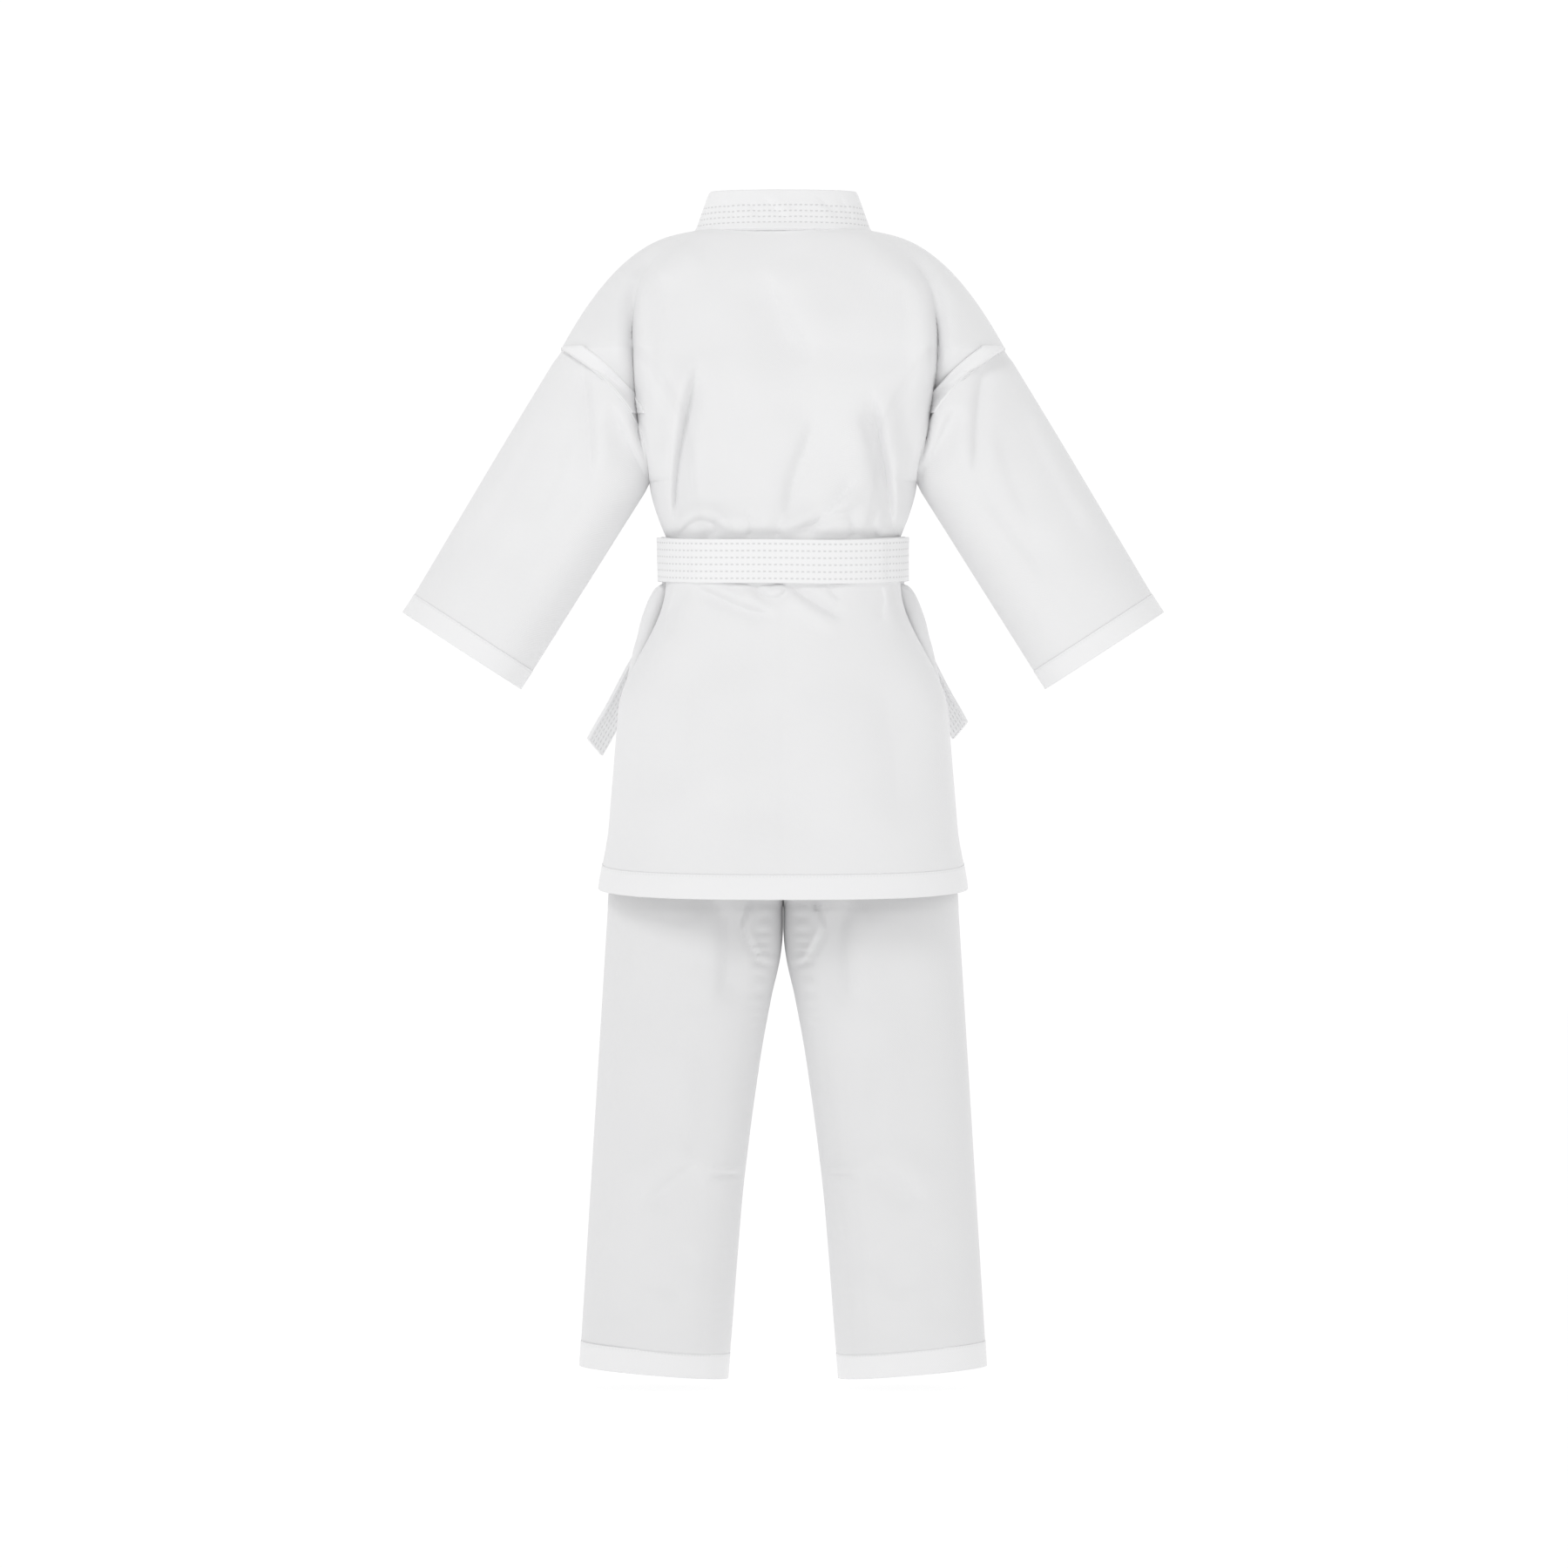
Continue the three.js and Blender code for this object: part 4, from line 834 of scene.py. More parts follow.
def seat_point(t, z):
    """Half of the seat: a level half superellipse that turns into a whole leg ring at the crotch."""
    q = np.clip((BELT_BOTTOM - z) / (BELT_BOTTOM - HIP_LEVEL), 0, 1)
    low = np.clip((HIP_LEVEL - z) / (HIP_LEVEL - CROTCH), 0, 1)
    half = lerp(lerp(WAIST_HALF - WAISTBAND_IN, HIP_HALF, q ** 1.25), THIGH_OUTER, low)
    depth = lerp(WAIST_DEPTH - WAISTBAND_IN, HIP_DEPTH, q ** 0.8)
    fork = np.clip((FORK_START - z) / (FORK_START - CROTCH), 0, 1)[..., None] ** 2
    a, e = np.pi / 2 * t, 2 / ROUNDNESS
    hip = points(half * np.clip(np.cos(a), 0, 1) ** e, depth * spow(np.sin(a), e), z)
    leg = leg_point(np.pi * t, np.full_like(z, CROTCH))
    leg[..., 2] = z
    return lerp(hip, leg, fork)


LEG_FOLDS = [
    ([(134, -938), (116, -921), (95, -905), (76, -896)], 11, 4.6, 0.6, 1),
    ([(74, -909), (56, -907), (36, -906)], 3.0, 3.0, 0.9, 1),
    ([(80, -980), (100, -1000), (114, -1030)], 15, 3, 0.5, 1),
    ([(64, -636), (57, -660), (53, -690), (58, -750)], 12, 6, 0.45, -1),
    ([(30, -634), (36.5, -656), (39, -672), (31, -688), (23, -703), (12, -707), (-6, -708)],
     2.6, 2.6, 0.9, 1),
    ([(120, -700), (124, -800), (118, -900)], 28, 3.4, 0.6, 1),
    ([(80, -760), (74, -840), (86, -900)], 22, 3, 0.6, -1),
    ([(150, -960), (146, -1010), (150, -1060)], 20, 2.6, 0.5, 1),
]


def inseam_line(z):
    """Where the inseam runs down the back of the leg: beside the inner edge."""
    return np.interp(-z, [640, 664, 684, 702, 725, 761, 808, 849, 903, 980, 1093],
                     [17, 17, 19.5, 21.6, 23.4, 25.5, 31, 38.5, 48, 56.5, 66])


def leg_relief(mid, depth_scale, seed):
    """Soft folds of a leg, and the puckers beside its inseam."""
    x, y, z = mid[..., 0], mid[..., 1], mid[..., 2]
    beside_seam = np.exp(-((x - inseam_line(z)) / 7) ** 2) * smooth(-z, 646, 652)
    puckers = 1.1 * np.sin(z / 1.9 + 2 * np.sin(z / 11)) * beside_seam * (1 - 0.7 * smooth(-z, 720, 800))
    height = fold_height(x, z, LEG_FOLDS) + unevenness(x, z, seed, 130, 1.4) + puckers
    out = mid.copy()
    out[..., 1] += np.sign(y) * depth_scale * height * smooth(np.abs(y), 3, 26) * smooth(-z, 560, 640)
    return out


def trouser_grid(depth_scale, seed):
    """Half of the trousers in one piece: the seat above the crotch and the leg below it. The hem end
    slopes down to the inside."""
    hem_top = LEG_BOTTOM + LEG_HEM
    z = -spread((-BELT_BOTTOM + SEAM_GAP, 0), (-FORK_START, 40), (-CROTCH, 44), (-hem_top, 150))[:, None]
    t = np.linspace(-1, 1, 150)[None, :]
    z, t = np.broadcast_arrays(z, t)
    seat = seat_point(t, np.maximum(z, CROTCH))
    leg = leg_point(np.pi * t, np.minimum(z, CROTCH))
    mid = np.where((z >= CROTCH)[..., None], seat, leg)
    outer, inner, _ = leg_section(z)
    share = np.clip((CROTCH - z) / (CROTCH - hem_top), 0, 1)
    mid[..., 2] -= share * LEG_TILT * (outer - mid[..., 0]) / (outer - inner)
    mid[..., 0] += SEAM_GAP / 2
    return leg_relief(mid, depth_scale, seed)


def leg_hem_grid():
    """The stitched hem of a leg."""
    z = np.linspace(LEG_BOTTOM + LEG_HEM + 0.8, LEG_BOTTOM, 26)[:, None]
    mid = leg_point(turns(150)[None, :], z)
    outer, inner, _ = leg_section(z)
    mid[..., 2] -= LEG_TILT * (outer - mid[..., 0]) / (outer - inner)
    mid[..., 0] += SEAM_GAP / 2
    return mid


def inseam_tape_grid(depth_scale, seed):
    """The felled seam on the back of a leg: a narrow band that follows the leg's own surface."""
    z = np.linspace(-650, LEG_BOTTOM + LEG_HEM + 0.5, 240)[:, None]
    outer, inner, depth = leg_section(z)
    w = np.linspace(-5, 5, 9)[None, :]
    x = inseam_line(z) + w
    e = LEG_ROUNDNESS
    c = np.clip((x - (outer + inner) / 2) / ((outer - inner) / 2), -1, 1)
    y = depth * (1 - np.abs(c) ** e) ** (1 / e)
    share = np.clip((CROTCH - z) / (CROTCH - (LEG_BOTTOM + LEG_HEM)), 0, 1)
    mid = points(x + SEAM_GAP / 2, y, z - share * LEG_TILT * (outer - x) / (outer - inner))
    return leg_relief(mid, depth_scale, seed)


def gusset_grid():
    """The gusset: a small saddle under the crotch, inside the seat seam."""
    y = np.linspace(-43, 43, 40)[:, None]
    w = np.linspace(-1, 1, 24)[None, :]
    level = FORK_START - (FORK_START - CROTCH) * np.sqrt(np.clip(1 - np.abs(y) / HIP_DEPTH, 0, 1))
    half = 2.7 + (15 - 2.7) * (1 - np.abs(y) / 43)
    return points(half * w, y + 0 * w, level + 4 - 1.5 * w * w)


# ---------------------------------------------------------------- finishes

class Reading:
    """A socket of a material's nodes, with ordinary arithmetic: each operation adds a Math node."""

    def __init__(self, maker, socket):
        self.maker, self.socket = maker, socket

    def _math(self, operation, *values):
        return self.maker.node("ShaderNodeMath", {"operation": operation}, dict(enumerate(values)))

    def __add__(self, other):
        return self._math("ADD", self, other)

    def __sub__(self, other):
        return self._math("SUBTRACT", self, other)

    def __mul__(self, other):
        return self._math("MULTIPLY", self, other)

    def __truediv__(self, other):
        return self._math("DIVIDE", self, other)

    def __pow__(self, other):
        return self._math("POWER", self, other)

    def __radd__(self, other):
        return self._math("ADD", other, self)

    def __rsub__(self, other):
        return self._math("SUBTRACT", other, self)

    def __rmul__(self, other):
        return self._math("MULTIPLY", other, self)

    def __abs__(self):
        return self._math("ABSOLUTE", self)

    def fract(self):
        """Distance past the last whole number."""
        return self._math("FRACT", self)

    def sine(self):
        """Sine of the value in radians."""
        return self._math("SINE", self)

    def larger(self, other):
        """The larger of two values."""
        return self._math("MAXIMUM", self, other)

    def step(self, low, high):
        """Smooth step from 0 at low to 1 at high."""
        return self.maker.node("ShaderNodeMapRange", {"interpolation_type": "SMOOTHSTEP"},
                               {"Value": self, "From Min": low, "From Max": high})


class Finish:
    """One procedural material under construction."""

    def __init__(self, name, roughness):
        self.material = bpy.data.materials.new(name)
        self.material.use_nodes = True
        self.tree = self.material.node_tree
        self.shader = self.tree.nodes["Principled BSDF"]
        self.shader.inputs["Roughness"].default_value = roughness
        self.shader.inputs["Specular IOR Level"].default_value = 0.18
        self.shader.inputs["Sheen Weight"].default_value = 0.12
        self.shader.inputs["Sheen Roughness"].default_value = 0.6

    def node(self, kind, settings=None, sockets=None, output=0):
        """Adds a node: its settings first, then the values or links of its sockets."""
        made = self.tree.nodes.new(kind)
        for key, value in (settings or {}).items():
            setattr(made, key, value)
        for key, value in (sockets or {}).items():
            self.link(value, made.inputs[key])
        return Reading(self, made.outputs[output])

    def link(self, value, socket):
        """Feeds a socket with another socket or a plain value."""
        if isinstance(value, Reading):
            self.tree.links.new(value.socket, socket)
        else:
            socket.default_value = value

    def mix(self, factor, a, b):
        """Mixes two colours."""
        return self.node("ShaderNodeMix", {"data_type": "RGBA"}, {0: factor, 6: a, 7: b}, 2)

    def feed(self, name, value):
        """Feeds one of the shader's sockets."""
        self.link(value, self.shader.inputs[name])


def cloth_finish(name, colour, weave=1.5, nap=0.02, roughness=0.88, rows=None, hem_line=None):
    """White cotton: a diagonal weave and nap as bump, and soft unevenness of tone.

    rows is (first, step, count, stitch, depth): stitch rows across the band, in millimetres; each row
    is a line of short stitches, dash = fract(u / stitch), with a dimple at both ends, and depth is how far
    the base colour is darkened at each stitch hole, as painted shade. hem_line is the place of one such
    row, along which the base colour is darkened as painted shade.
    """
    finish = Finish(name, roughness)
    coordinates = finish.tree.nodes.new("ShaderNodeTexCoord")
    place = Reading(finish, coordinates.outputs["Object"])
    split = finish.tree.nodes.new("ShaderNodeSeparateXYZ")
    finish.tree.links.new(coordinates.outputs["UV"], split.inputs[0])
    u, v = Reading(finish, split.outputs[0]), Reading(finish, split.outputs[1])
    turn = 2 * np.pi / (weave * 0.001)
    twill = ((u + v) * turn).sine()
    slub = finish.node("ShaderNodeTexNoise", None, {"Vector": place, "Scale": 520.0, "Detail": 2.0})
    tone = finish.node("ShaderNodeTexNoise", None, {"Vector": place, "Scale": 9.0, "Detail": 3.0})
    height = twill * 0.35 + slub * 0.65
    shade = tone.step(0.3, 0.7) * nap + slub * (nap * 0.5)
    if rows:
        first, step, count, stitch, depth = rows
        across = (v * 1000.0 - first) / step
        near = abs((across + 0.5).fract() - 0.5) * step
        inside = across.step(-0.5, -0.4) * (1.0 - across.step(count - 0.6, count - 0.5))
        line = (1.0 - near.step(0.35, 1.0)) * inside
        dash = (u * (1000.0 / stitch)).fract()
        hole = 1.0 - abs(dash - 0.5).step(0.16, 0.34)
        groove = (1.0 - near.step(0.3, 2.4)) * inside
        height = height + (line * (1.0 - hole) * 1.2) - groove * 0.9 - line * hole * 2.8
        # painted shade: the base colour is darkened at each stitch hole by depth, standing in for the shadow
        # in the hole
        shade = shade + line * hole * depth
    if hem_line is not None:
        near = abs(v * 1000.0 - hem_line)
        line = 1.0 - near.step(0.4, 1.2)
        dash = 1.0 - abs((u * (1000.0 / 3.2)).fract() - 0.5).step(0.12, 0.32)
        height = height - (1.0 - near.step(0.4, 2.2)) * 1.5
        # painted shade: the base colour is darkened along the hem stitch line, and more at each stitch, for
        # the shadow in the stitching
        shade = shade + line * 0.02 + line * dash * 0.08
    # The base colour mixes towards dark by the random tone and by the painted shade at the stitching.
    dark = tuple(c * 0.55 for c in colour) + (1.0,)
    finish.feed("Base Color", finish.mix(shade, tuple(colour) + (1.0,), dark))
    finish.feed("Roughness", slub * 0.1 + (roughness - 0.05))
    finish.feed("Normal", finish.node("ShaderNodeBump", None,
                                      {"Strength": 0.35, "Distance": 0.00025, "Height": height}))
    return finish.material


# ---------------------------------------------------------------- settings

class ClothSizes(bpy.types.PropertyGroup):
    """Thickness of the cloths and strength of their folds."""

    cloth: FloatProperty(name="Cloth", description="Thickness of the jacket and trouser cloth",
                         default=0.0018, min=0.0008, max=0.003, unit="LENGTH")
    band: FloatProperty(name="Band", description="Thickness of the quilted collar and lapels",
                        default=0.0038, min=0.002, max=0.005, unit="LENGTH")
    hem: FloatProperty(name="Hem", description="Thickness of the turned and stitched hems",
                       default=0.0026, min=0.001, max=0.004, unit="LENGTH")
    belt: FloatProperty(name="Belt", description="Thickness of one wrap of the belt",
                        default=0.003, min=0.001, max=0.004, unit="LENGTH")
    folds: FloatProperty(name="Folds", description="Depth of all folds, as a share of the usual depth",
                         default=1.0, min=0.0, max=1.3, subtype="FACTOR")
    sag: FloatProperty(name="Belt sag", description="How far the belt sags at the middle of the back",
                       default=0.0052, min=0.0, max=0.008, unit="LENGTH")


class ClothColours(bpy.types.PropertyGroup):
    """Base colours of the cloths."""

    jacket: FloatVectorProperty(name="Jacket", description="Single layer of jacket cloth",
                                default=(0.86, 0.86, 0.865), subtype="COLOR", min=0, max=1)
    trousers: FloatVectorProperty(name="Trousers", description="Single layer of trouser cloth",
                                  default=(0.82, 0.82, 0.825), subtype="COLOR", min=0, max=1)
    double: FloatVectorProperty(name="Bands", description="Collar, lapels, hems and seam tapes",
                                default=(0.90, 0.90, 0.905), subtype="COLOR", min=0, max=1)
    belt: FloatVectorProperty(name="Belt", description="Stiff white belt",
                              default=(0.92, 0.92, 0.925), subtype="COLOR", min=0, max=1)


class UniformSettings(bpy.types.PropertyGroup):
    """Everything a user would change."""

    sizes: PointerProperty(type=ClothSizes)
    colours: PointerProperty(type=ClothColours)


def finishes(context):
    """The materials, made once."""
    made = {m.name: m for m in bpy.data.materials}
    colours = context.scene.uniform.colours
    inseam = tuple(0.3 * c + 0.7 * d for c, d in zip(colours.double, colours.trousers))
    recipes = {
        "jacket_twill": (colours.jacket, {}),
        "trouser_twill": (colours.trousers, {}),
        # hem_line also paints shade along the hem stitching
        "hem_twill": (colours.double, {"hem_line": 1.8}),
        "seam_cloth": (colours.double, {"weave": 1.1}),
        "inseam_cloth": (inseam, {"weave": 1.1}),
        # the last number of each rows entry is how far the stitch holes are darkened, painted shade
        "collar_quilting": (colours.double, {"rows": (7.5, 6.0, 4, 5.0, 0.45)}),
        "lapel_quilting": (colours.double, {"rows": (5.0, 7.0, 5, 5.0, 0.4)}),
        "belt_quilting": (colours.belt, {"weave": 1.2, "rows": (4.5, 6.6, 6, 5.2, 0.45)}),
        "ribbed_elastic": (colours.double, {"weave": 2.2, "rows": (3.0, 4.0, 7, 2.0, 0.3)}),
    }
    return {name: made.get(name) or cloth_finish(name, colour, **detail)
            for name, (colour, detail) in recipes.items()}


# ---------------------------------------------------------------- operators

class UNIFORM_OT_jacket_body(bpy.types.Operator):
    """Back, fronts and sleeve seams of the jacket above the belt."""

    bl_idname = "uniform.jacket_body"
    bl_label = "Jacket body"

    def execute(self, context):
        sizes, finish = context.scene.uniform.sizes, finishes(context)
        cloth = sizes.cloth * 1000
        armhole_rows = 1 + np.arccos(1 - 2 * np.linspace(0, 1, 66)) / np.pi
        v = np.concatenate([spread((0, 0), (1, 46))[:-1], armhole_rows,
                            spread((2, 0), (2.6, 44), (3, 12))[1:]])
        s = np.sin(np.pi / 2 * np.linspace(-1, 1, 280))[None, :]
        back = back_panel_grid(s, v[:, None], sizes.folds)
        cloth_piece("jacket_back", back, cloth, finish["jacket_twill"], ["back_panel"],
                    body="jacket")
        front, share = front_panel_grid(v)
        front = front_relief(front, sizes.folds)
        for name, side in SIDES:
            panel = front.copy()
            if side < 0:
                panel[..., 1] -= under_layer(share) * tuck(front[..., 2])
            cloth_piece(f"{name}_jacket_front", to_side(panel, side), cloth, finish["jacket_twill"],
                        [f"{name}_front_panel"], body="jacket")
        w = np.linspace(0, 1, 9)[None, :]
        for face, label, low, widest, narrowest in ((1, "back", 1.525, 23, 12), (-1, "front", 1.9, 18, 9.5)):
            rows = np.linspace(1.03, low, 150)[:, None]
            place = panel_edge(rows)[0]
            wide = lerp(widest, narrowest, smooth(rows, 1.1, 1.75))
            strip = torso_point(face, (place - wide * w - 0.4 * (1 - w)) / place, rows)
            strip = back_relief(strip, sizes.folds) if face > 0 else front_relief(strip, sizes.folds)
            for name, side in SIDES:
                tape = strip.copy()
                if face < 0 and side < 0:
                    tape[..., 1] -= under_layer((place - wide * w) / place) * tuck(strip[..., 2])
                cloth_piece(f"{name}_{label}_sleeve_seam", to_side(tape, side), 1.1, finish["seam_cloth"],
                            [f"{name}_{label}_armhole_tape"],
                            shift=cloth / 2 + 0.6, body="jacket", along_rows=True)
        return {"FINISHED"}


class UNIFORM_OT_collar(bpy.types.Operator):
    """Quilted collar band: the standing part behind the neck and the two lapels."""

    bl_idname = "uniform.collar"
    bl_label = "Collar and lapels"

    def execute(self, context):
        sizes, finish = context.scene.uniform.sizes, finishes(context)
        band = sizes.band * 1000
        mid = collar_grid()
        cloth_piece("jacket_collar", mid, quilted(mid, band, 7.5, 6.0, 4), finish["collar_quilting"],
                    ["collar_neck"], body="jacket")
        mid, z = lapel_grid()
        for name, side in SIDES:
            deeper = -UNDER_LAYER * tuck(z)[:, None] if side < 0 else 0.0
            cloth_piece(f"{name}_jacket_lapel", to_side(mid, side), quilted(mid, band, 5.0, 7.0, 5, across=1),
                        finish["lapel_quilting"], [f"{name}_lapel"],
                        shift=deeper + 0.4, along_rows=True, body="jacket")
        return {"FINISHED"}


class UNIFORM_OT_sleeves(bpy.types.Operator):
    """Wide sleeves and their stitched cuffs."""

    bl_idname = "uniform.sleeves"
    bl_label = "Sleeves"

    def execute(self, context):
        sizes, finish = context.scene.uniform.sizes, finishes(context)
        mid = sleeve_grid(sizes.folds)
        rows = np.linspace(SLEEVE_HEM + 1.0, 0, 26)[:, None]
        hem = cuff_point(turns(150)[None, :] + 0 * rows, rows + 0 * turns(150)[None, :])
        for name, side in SIDES:
            part = f"{name}_sleeve_part"
            start, end = (side * 0.171, 0, -0.1775), (side * 0.226, 0, -0.262)
            cloth_piece(f"{name}_jacket_sleeve", to_side(mid, side), sizes.cloth * 1000,
                        finish["jacket_twill"], [f"{name}_sleeve"],
                        closed=True, bend=("jacket", part, start, end))
            cloth_piece(f"{name}_cuff", to_side(hem, side), sizes.hem * 1000, finish["hem_twill"],
                        [f"{name}_sleeve_hem"],
                        closed=True, body=part)
        return {"FINISHED"}


class UNIFORM_OT_belt(bpy.types.Operator):
    """Two wraps of the quilted belt, its knot and its hanging ends."""

    bl_idname = "uniform.belt"
    bl_label = "Belt"

    def execute(self, context):
        sizes, finish = context.scene.uniform.sizes, finishes(context)
        ply, sag = sizes.belt * 1000, sizes.sag * 1000
        for name, node, out, drop, seed in (("belt_under_wrap", "belt_inner_wrap", WRAP_OUT - 0.4, -2.2, 2),
                                            ("belt_over_wrap", "belt_outer_wrap", OUTER_WRAP_OUT, 0.0, 4)):
            mid = belt_ring(out, drop, sag, seed)
            cloth_piece(name, mid, quilted(mid, ply, 4.5, 6.6, 6), finish["belt_quilting"],
                        [node], closed=True, body="jacket")
        wraps = [(0.10, 34, 50, 17, -1, 0.20), (np.radians(58), 38, 44, 21, 1, 0.24),
                 (np.radians(-52), 30, 46, 15, -2, 0.2)]
        grids = [knot_wrap(*w) for w in wraps]
        knot = mesh_object("belt_knot_wraps", *joined([cloth_solid(g, ply, True) for g in grids]))
        knot.data.materials.append(finish["belt_quilting"])
        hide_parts("belt_knot")
        width = TAIL_WIDTH * 0.001
        area = sum(cut_size(g, True)[1] for g in grids)
        area / width
        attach(knot, "jacket")
        mid = tail_grid()
        drawn_up = smooth(np.linspace(0, 1, len(mid)), 0.4, 1)[:, None, None] * RIGHT_TIP_SHIFT
        for name, side in SIDES:
            end = mid if side > 0 else mid + drawn_up
            thickness = quilted(end, ply + 0.3, 4.5, 6.2, 6, 0.9, across=1)
            cloth_piece(f"{name}_belt_end_band", to_side(end, side), thickness, finish["belt_quilting"],
                        [f"{name}_belt_tail"],
                        along_rows=True, body=f"{name}_belt_end")
        return {"FINISHED"}


class UNIFORM_OT_skirt(bpy.types.Operator):
    """The jacket below the belt: the back and the two fronts, which hang, with their hems."""

    bl_idname = "uniform.skirt"
    bl_label = "Jacket skirt"

    def execute(self, context):
        sizes, finish = context.scene.uniform.sizes, finishes(context)
        cloth, hem, band = sizes.cloth * 1000, sizes.hem * 1000, sizes.band * 1000
        hem_top = SKIRT_BOTTOM + SKIRT_HEM
        back_bend = ("jacket", "back_skirt_part", (0, 0.095, -0.345), (0, 0.095, -0.425))
        front_bend = ("jacket", "front_skirt_part", (0, -0.095, -0.345), (0, -0.095, -0.425))
        levels = -spread((-SKIRT_TOP - 5, 0), (380, 50), (-hem_top, 106))
        cloth_piece("skirt_back", back_skirt_grid(levels, sizes.folds), cloth, finish["jacket_twill"],
                    ["back_skirt"], bend=back_bend)
        hem_levels = np.linspace(hem_top + 0.8, SKIRT_BOTTOM, 24)
        cloth_piece("skirt_back_band", back_skirt_grid(hem_levels, sizes.folds), hem, finish["hem_twill"],
                    ["back_skirt_hem"], bend=back_bend)
        hem_levels = np.linspace(hem_top + 0.8, SKIRT_BOTTOM, 20)
        for name, side in SIDES:
            under = side < 0

            def deeper(share):
                return under_layer(share) if under else 0.0

            mid, share = front_skirt_grid(levels, tail_line, None, 130, sizes.folds)
            cloth_piece(f"{name}_skirt_front", to_side(mid, side), cloth, finish["jacket_twill"],
                        [f"{name}_front_skirt"],
                        shift=deeper(share), bend=front_bend)
            mid, share = front_skirt_grid(hem_levels, tail_line, None, 130, sizes.folds)
            cloth_piece(f"{name}_skirt_front_band", to_side(mid, side), hem, finish["hem_twill"],
                        [f"{name}_front_hem"],
                        shift=deeper(share), bend=front_bend)
            levels_tail = np.concatenate([levels, np.linspace(hem_top, SKIRT_BOTTOM - 0.5, 14)[1:]])
            mid, share = front_skirt_grid(levels_tail, lambda z: tail_line(z) - 1.0 - LAPEL_WIDTH,
                                          lambda z: tail_line(z) - 0.4, 20, sizes.folds)
            cloth_piece(f"{name}_skirt_lapel", to_side(mid, side), quilted(mid, band, 5.0, 7.0, 5, across=1),
                        finish["lapel_quilting"], [f"{name}_lapel_tail"],
                        shift=deeper(share), along_rows=True, bend=front_bend)
        return {"FINISHED"}


class UNIFORM_OT_trousers(bpy.types.Operator):
    """Waistband with its elastic, the two halves of the trousers, hems, inseams and gusset."""

    bl_idname = "uniform.trousers"
    bl_label = "Trousers"

    def execute(self, context):
        sizes, finish = context.scene.uniform.sizes, finishes(context)
        cloth = sizes.cloth * 1000
        band = waist_ring(np.linspace(BELT_TOP, BELT_BOTTOM, 16), 240, -WAISTBAND_IN)
        cloth_piece("trouser_waistband", band, 2.2, finish["hem_twill"], ["waistband"],
                    closed=True, body="jacket")
        low = node_bottom("waist_elastic")
        elastic = waist_ring(np.linspace(node_top("waist_elastic"), low, 14), 240, -ELASTIC_IN)
        cloth_piece("trouser_elastic", elastic, 1.6, finish["ribbed_elastic"], ["waist_elastic"],
                    closed=True, body="jacket")
        cloth_piece("trouser_gusset", gusset_grid(), cloth, finish["trouser_twill"],
                    ["crotch_gusset"], body="jacket")
        for seed, (name, side) in enumerate(SIDES, 41):
            part = f"{name}_leg_part"
            bend = ("jacket", part, (side * 0.087, 0, -0.622), (side * 0.087, 0, -0.742))
            cloth_piece(f"{name}_trouser_half", to_side(trouser_grid(sizes.folds, seed), side), cloth,
                        finish["trouser_twill"],
                        [f"{name}_trouser_seat", f"{name}_thigh_fold", f"{name}_trouser_leg"],
                        bend=bend)
            cloth_piece(f"{name}_trouser_hem", to_side(leg_hem_grid(), side), sizes.hem * 1000,
                        finish["hem_twill"], [f"{name}_leg_hem"],
                        closed=True, body=part)
            tape = inseam_tape_grid(sizes.folds, seed)
            cloth_piece(f"{name}_inseam", to_side(tape, side), 1.0, finish["inseam_cloth"],
                        [f"{name}_inseam_tape"], shift=cloth / 2 + 0.3,
                        along_rows=True, bend=bend)
        return {"FINISHED"}


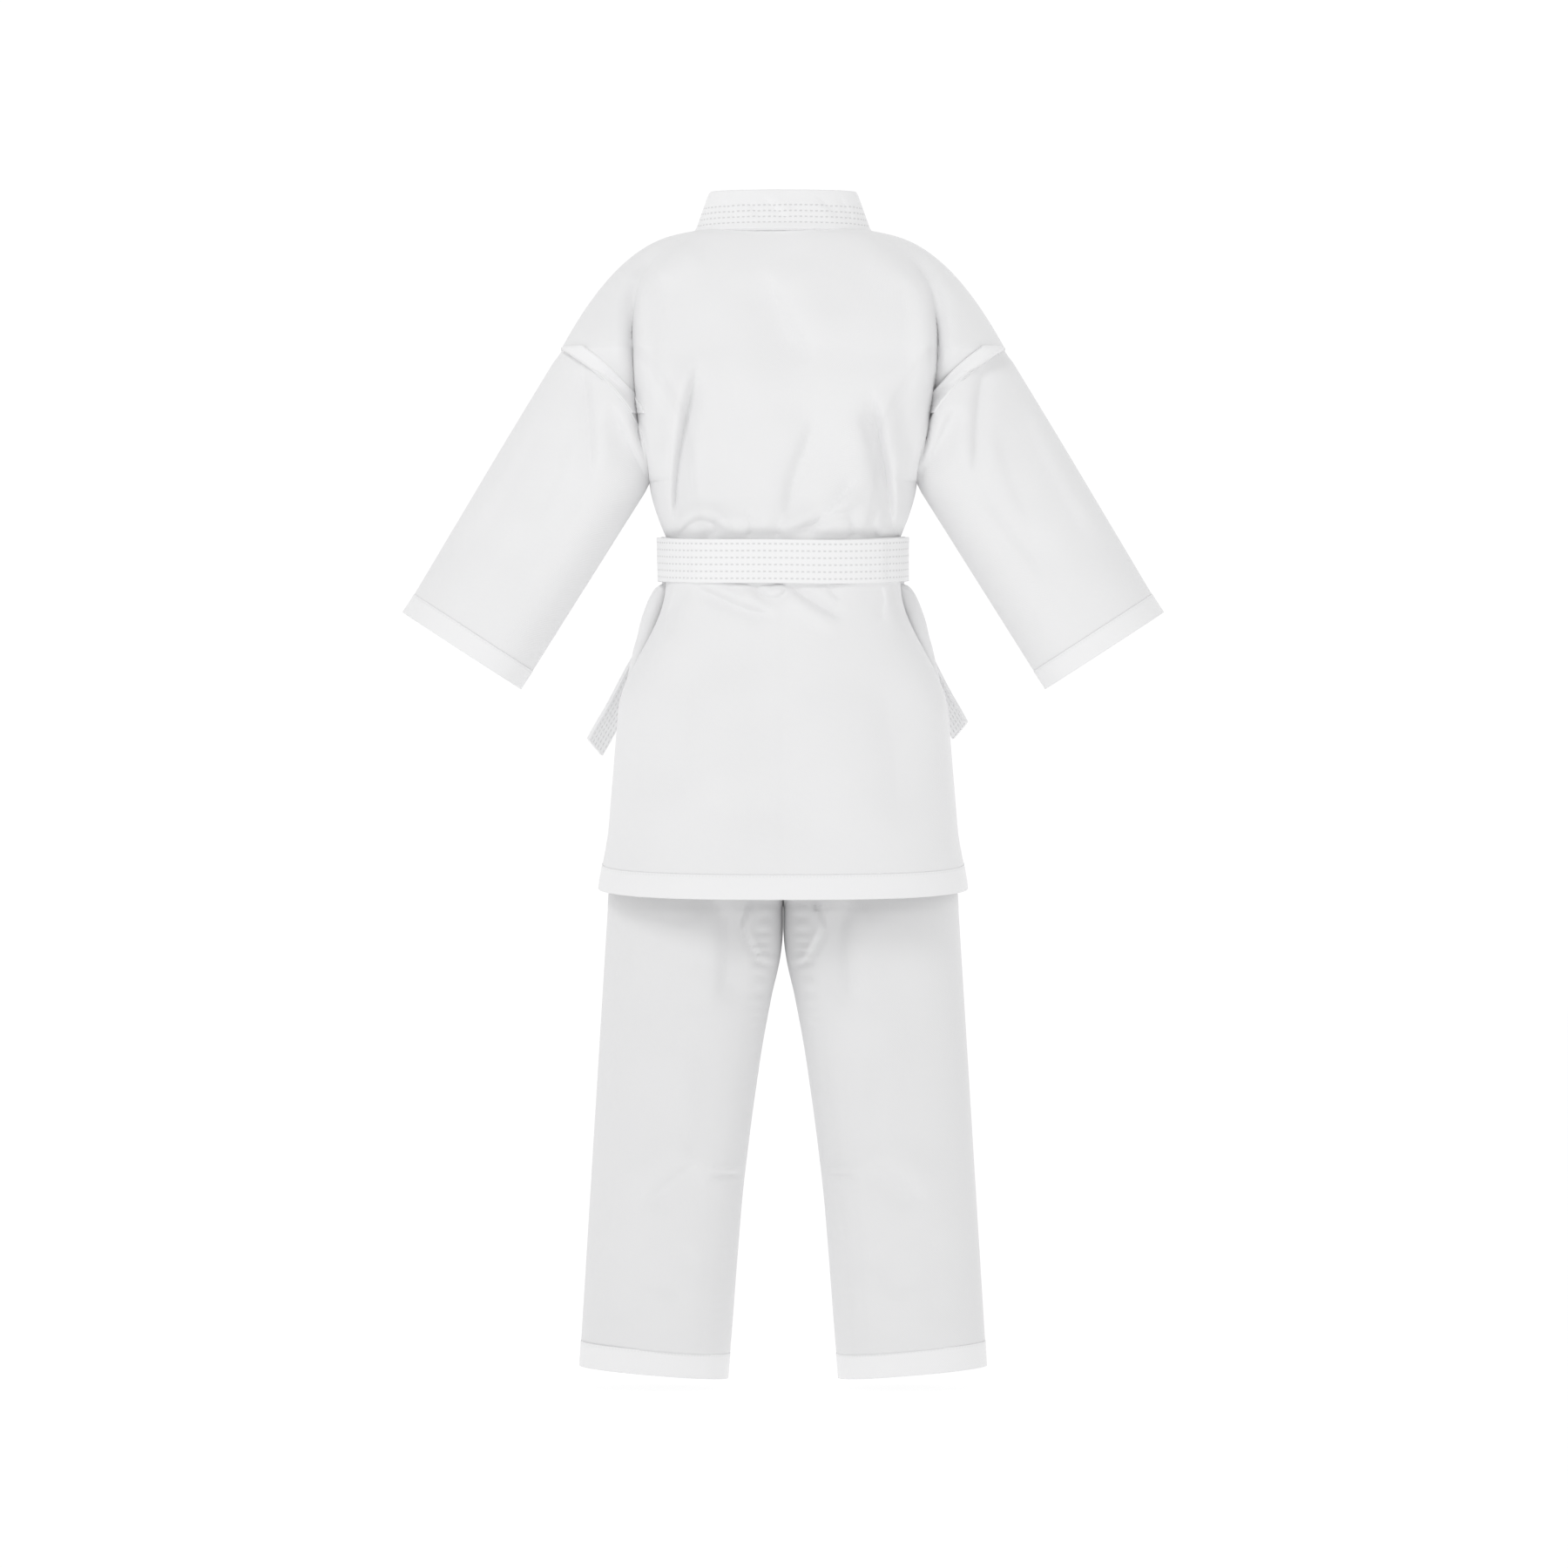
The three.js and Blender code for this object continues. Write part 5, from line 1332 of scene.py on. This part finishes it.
class UNIFORM_OT_stage(bpy.types.Operator):
    """Pale floor, soft light and the camera behind the wearer."""

    bl_idname = "uniform.stage"
    bl_label = "Stage"

    def execute(self, context):
        scene = context.scene
        lens = bpy.data.cameras.new("camera")
        lens.lens, lens.sensor_width = 190.5, 36.0
        camera = bpy.data.objects.new("camera", lens)
        camera.location = (-0.0008, 8.0, -0.533)
        camera.rotation_euler = (np.pi / 2, 0, np.pi)
        context.collection.objects.link(camera)
        scene.camera = camera

        pale = Finish("pale_floor", 1.0)
        pale.shader.inputs["Sheen Weight"].default_value = 0.0
        pale.shader.inputs["Specular IOR Level"].default_value = 0.0
        pale.shader.inputs["Base Color"].default_value = (0.08, 0.08, 0.08, 1)
        pale.shader.inputs["Emission Color"].default_value = (1, 1, 1, 1)
        pale.shader.inputs["Emission Strength"].default_value = 0.96
        low, far, wide, high = CAD_BOUNDS[0][2] - 0.01, -14, 60, 40
        planes = (("floor", [(-wide, -wide, low), (wide, -wide, low), (wide, wide, low), (-wide, wide, low)]),
                  ("backdrop", [(-wide, far, high), (wide, far, high), (wide, far, low), (-wide, far, low)]))
        for name, corners in planes:
            mesh = bpy.data.meshes.new(name)
            mesh.from_pydata(corners, [], [(0, 1, 2, 3)])
            mesh.materials.append(pale.material)
            plane = bpy.data.objects.new(name, mesh)
            context.collection.objects.link(plane)
        scene.view_settings.view_transform = "Standard"

        world = bpy.data.worlds.new("studio")
        world.use_nodes = True
        background = world.node_tree.nodes["Background"]
        background.inputs["Color"].default_value = (1, 1, 1, 1)
        background.inputs["Strength"].default_value = 0.64
        scene.world = world
        lamps = (("key", (1.6, 3.0, 2.2), 1.2, 34), ("fill", (-2.6, 2.6, 0.4), 1.8, 7),
                 ("front", (-1.6, -3.4, 1.4), 1.8, 14))
        for name, place, size, power in lamps:
            lamp = bpy.data.lights.new(name, "AREA")
            lamp.size, lamp.energy = size, power
            light = bpy.data.objects.new(name, lamp)
            light.location = place
            aim = Vector((0, 0, -0.55)) - Vector(place)
            light.rotation_euler = aim.to_track_quat("-Z", "Y").to_euler()
            context.collection.objects.link(light)
        return {"FINISHED"}


class UNIFORM_PT_sidebar(bpy.types.Panel):
    """Settings and operators of the uniform."""

    bl_idname = "UNIFORM_PT_sidebar"
    bl_label = "Martial arts uniform"
    bl_space_type = "VIEW_3D"
    bl_region_type = "UI"
    bl_category = "Uniform"

    def draw(self, context):
        for group in (context.scene.uniform.sizes, context.scene.uniform.colours):
            box = self.layout.box()
            for key in group.__annotations__:
                box.prop(group, key)
        for operator in OPERATORS:
            self.layout.operator(operator.bl_idname)


OPERATORS = (UNIFORM_OT_jacket_body, UNIFORM_OT_collar, UNIFORM_OT_sleeves, UNIFORM_OT_belt, UNIFORM_OT_skirt,
             UNIFORM_OT_trousers, UNIFORM_OT_stage)
CLASSES = (ClothSizes, ClothColours, UniformSettings, *OPERATORS, UNIFORM_PT_sidebar)


def register():
    """Registers the settings, operators and panel."""
    for cls in CLASSES:
        bpy.utils.register_class(cls)
    bpy.types.Scene.uniform = PointerProperty(type=UniformSettings)


def unregister():
    """Takes them away again."""
    del bpy.types.Scene.uniform
    for cls in reversed(CLASSES):
        bpy.utils.unregister_class(cls)


def main():
    """Makes every piece and the stage."""
    register()
    bpy.ops.uniform.jacket_body()
    bpy.ops.uniform.collar()
    bpy.ops.uniform.sleeves()
    bpy.ops.uniform.belt()
    bpy.ops.uniform.skirt()
    bpy.ops.uniform.trousers()
    bpy.ops.uniform.stage()


if __name__ == "__main__":
    main()
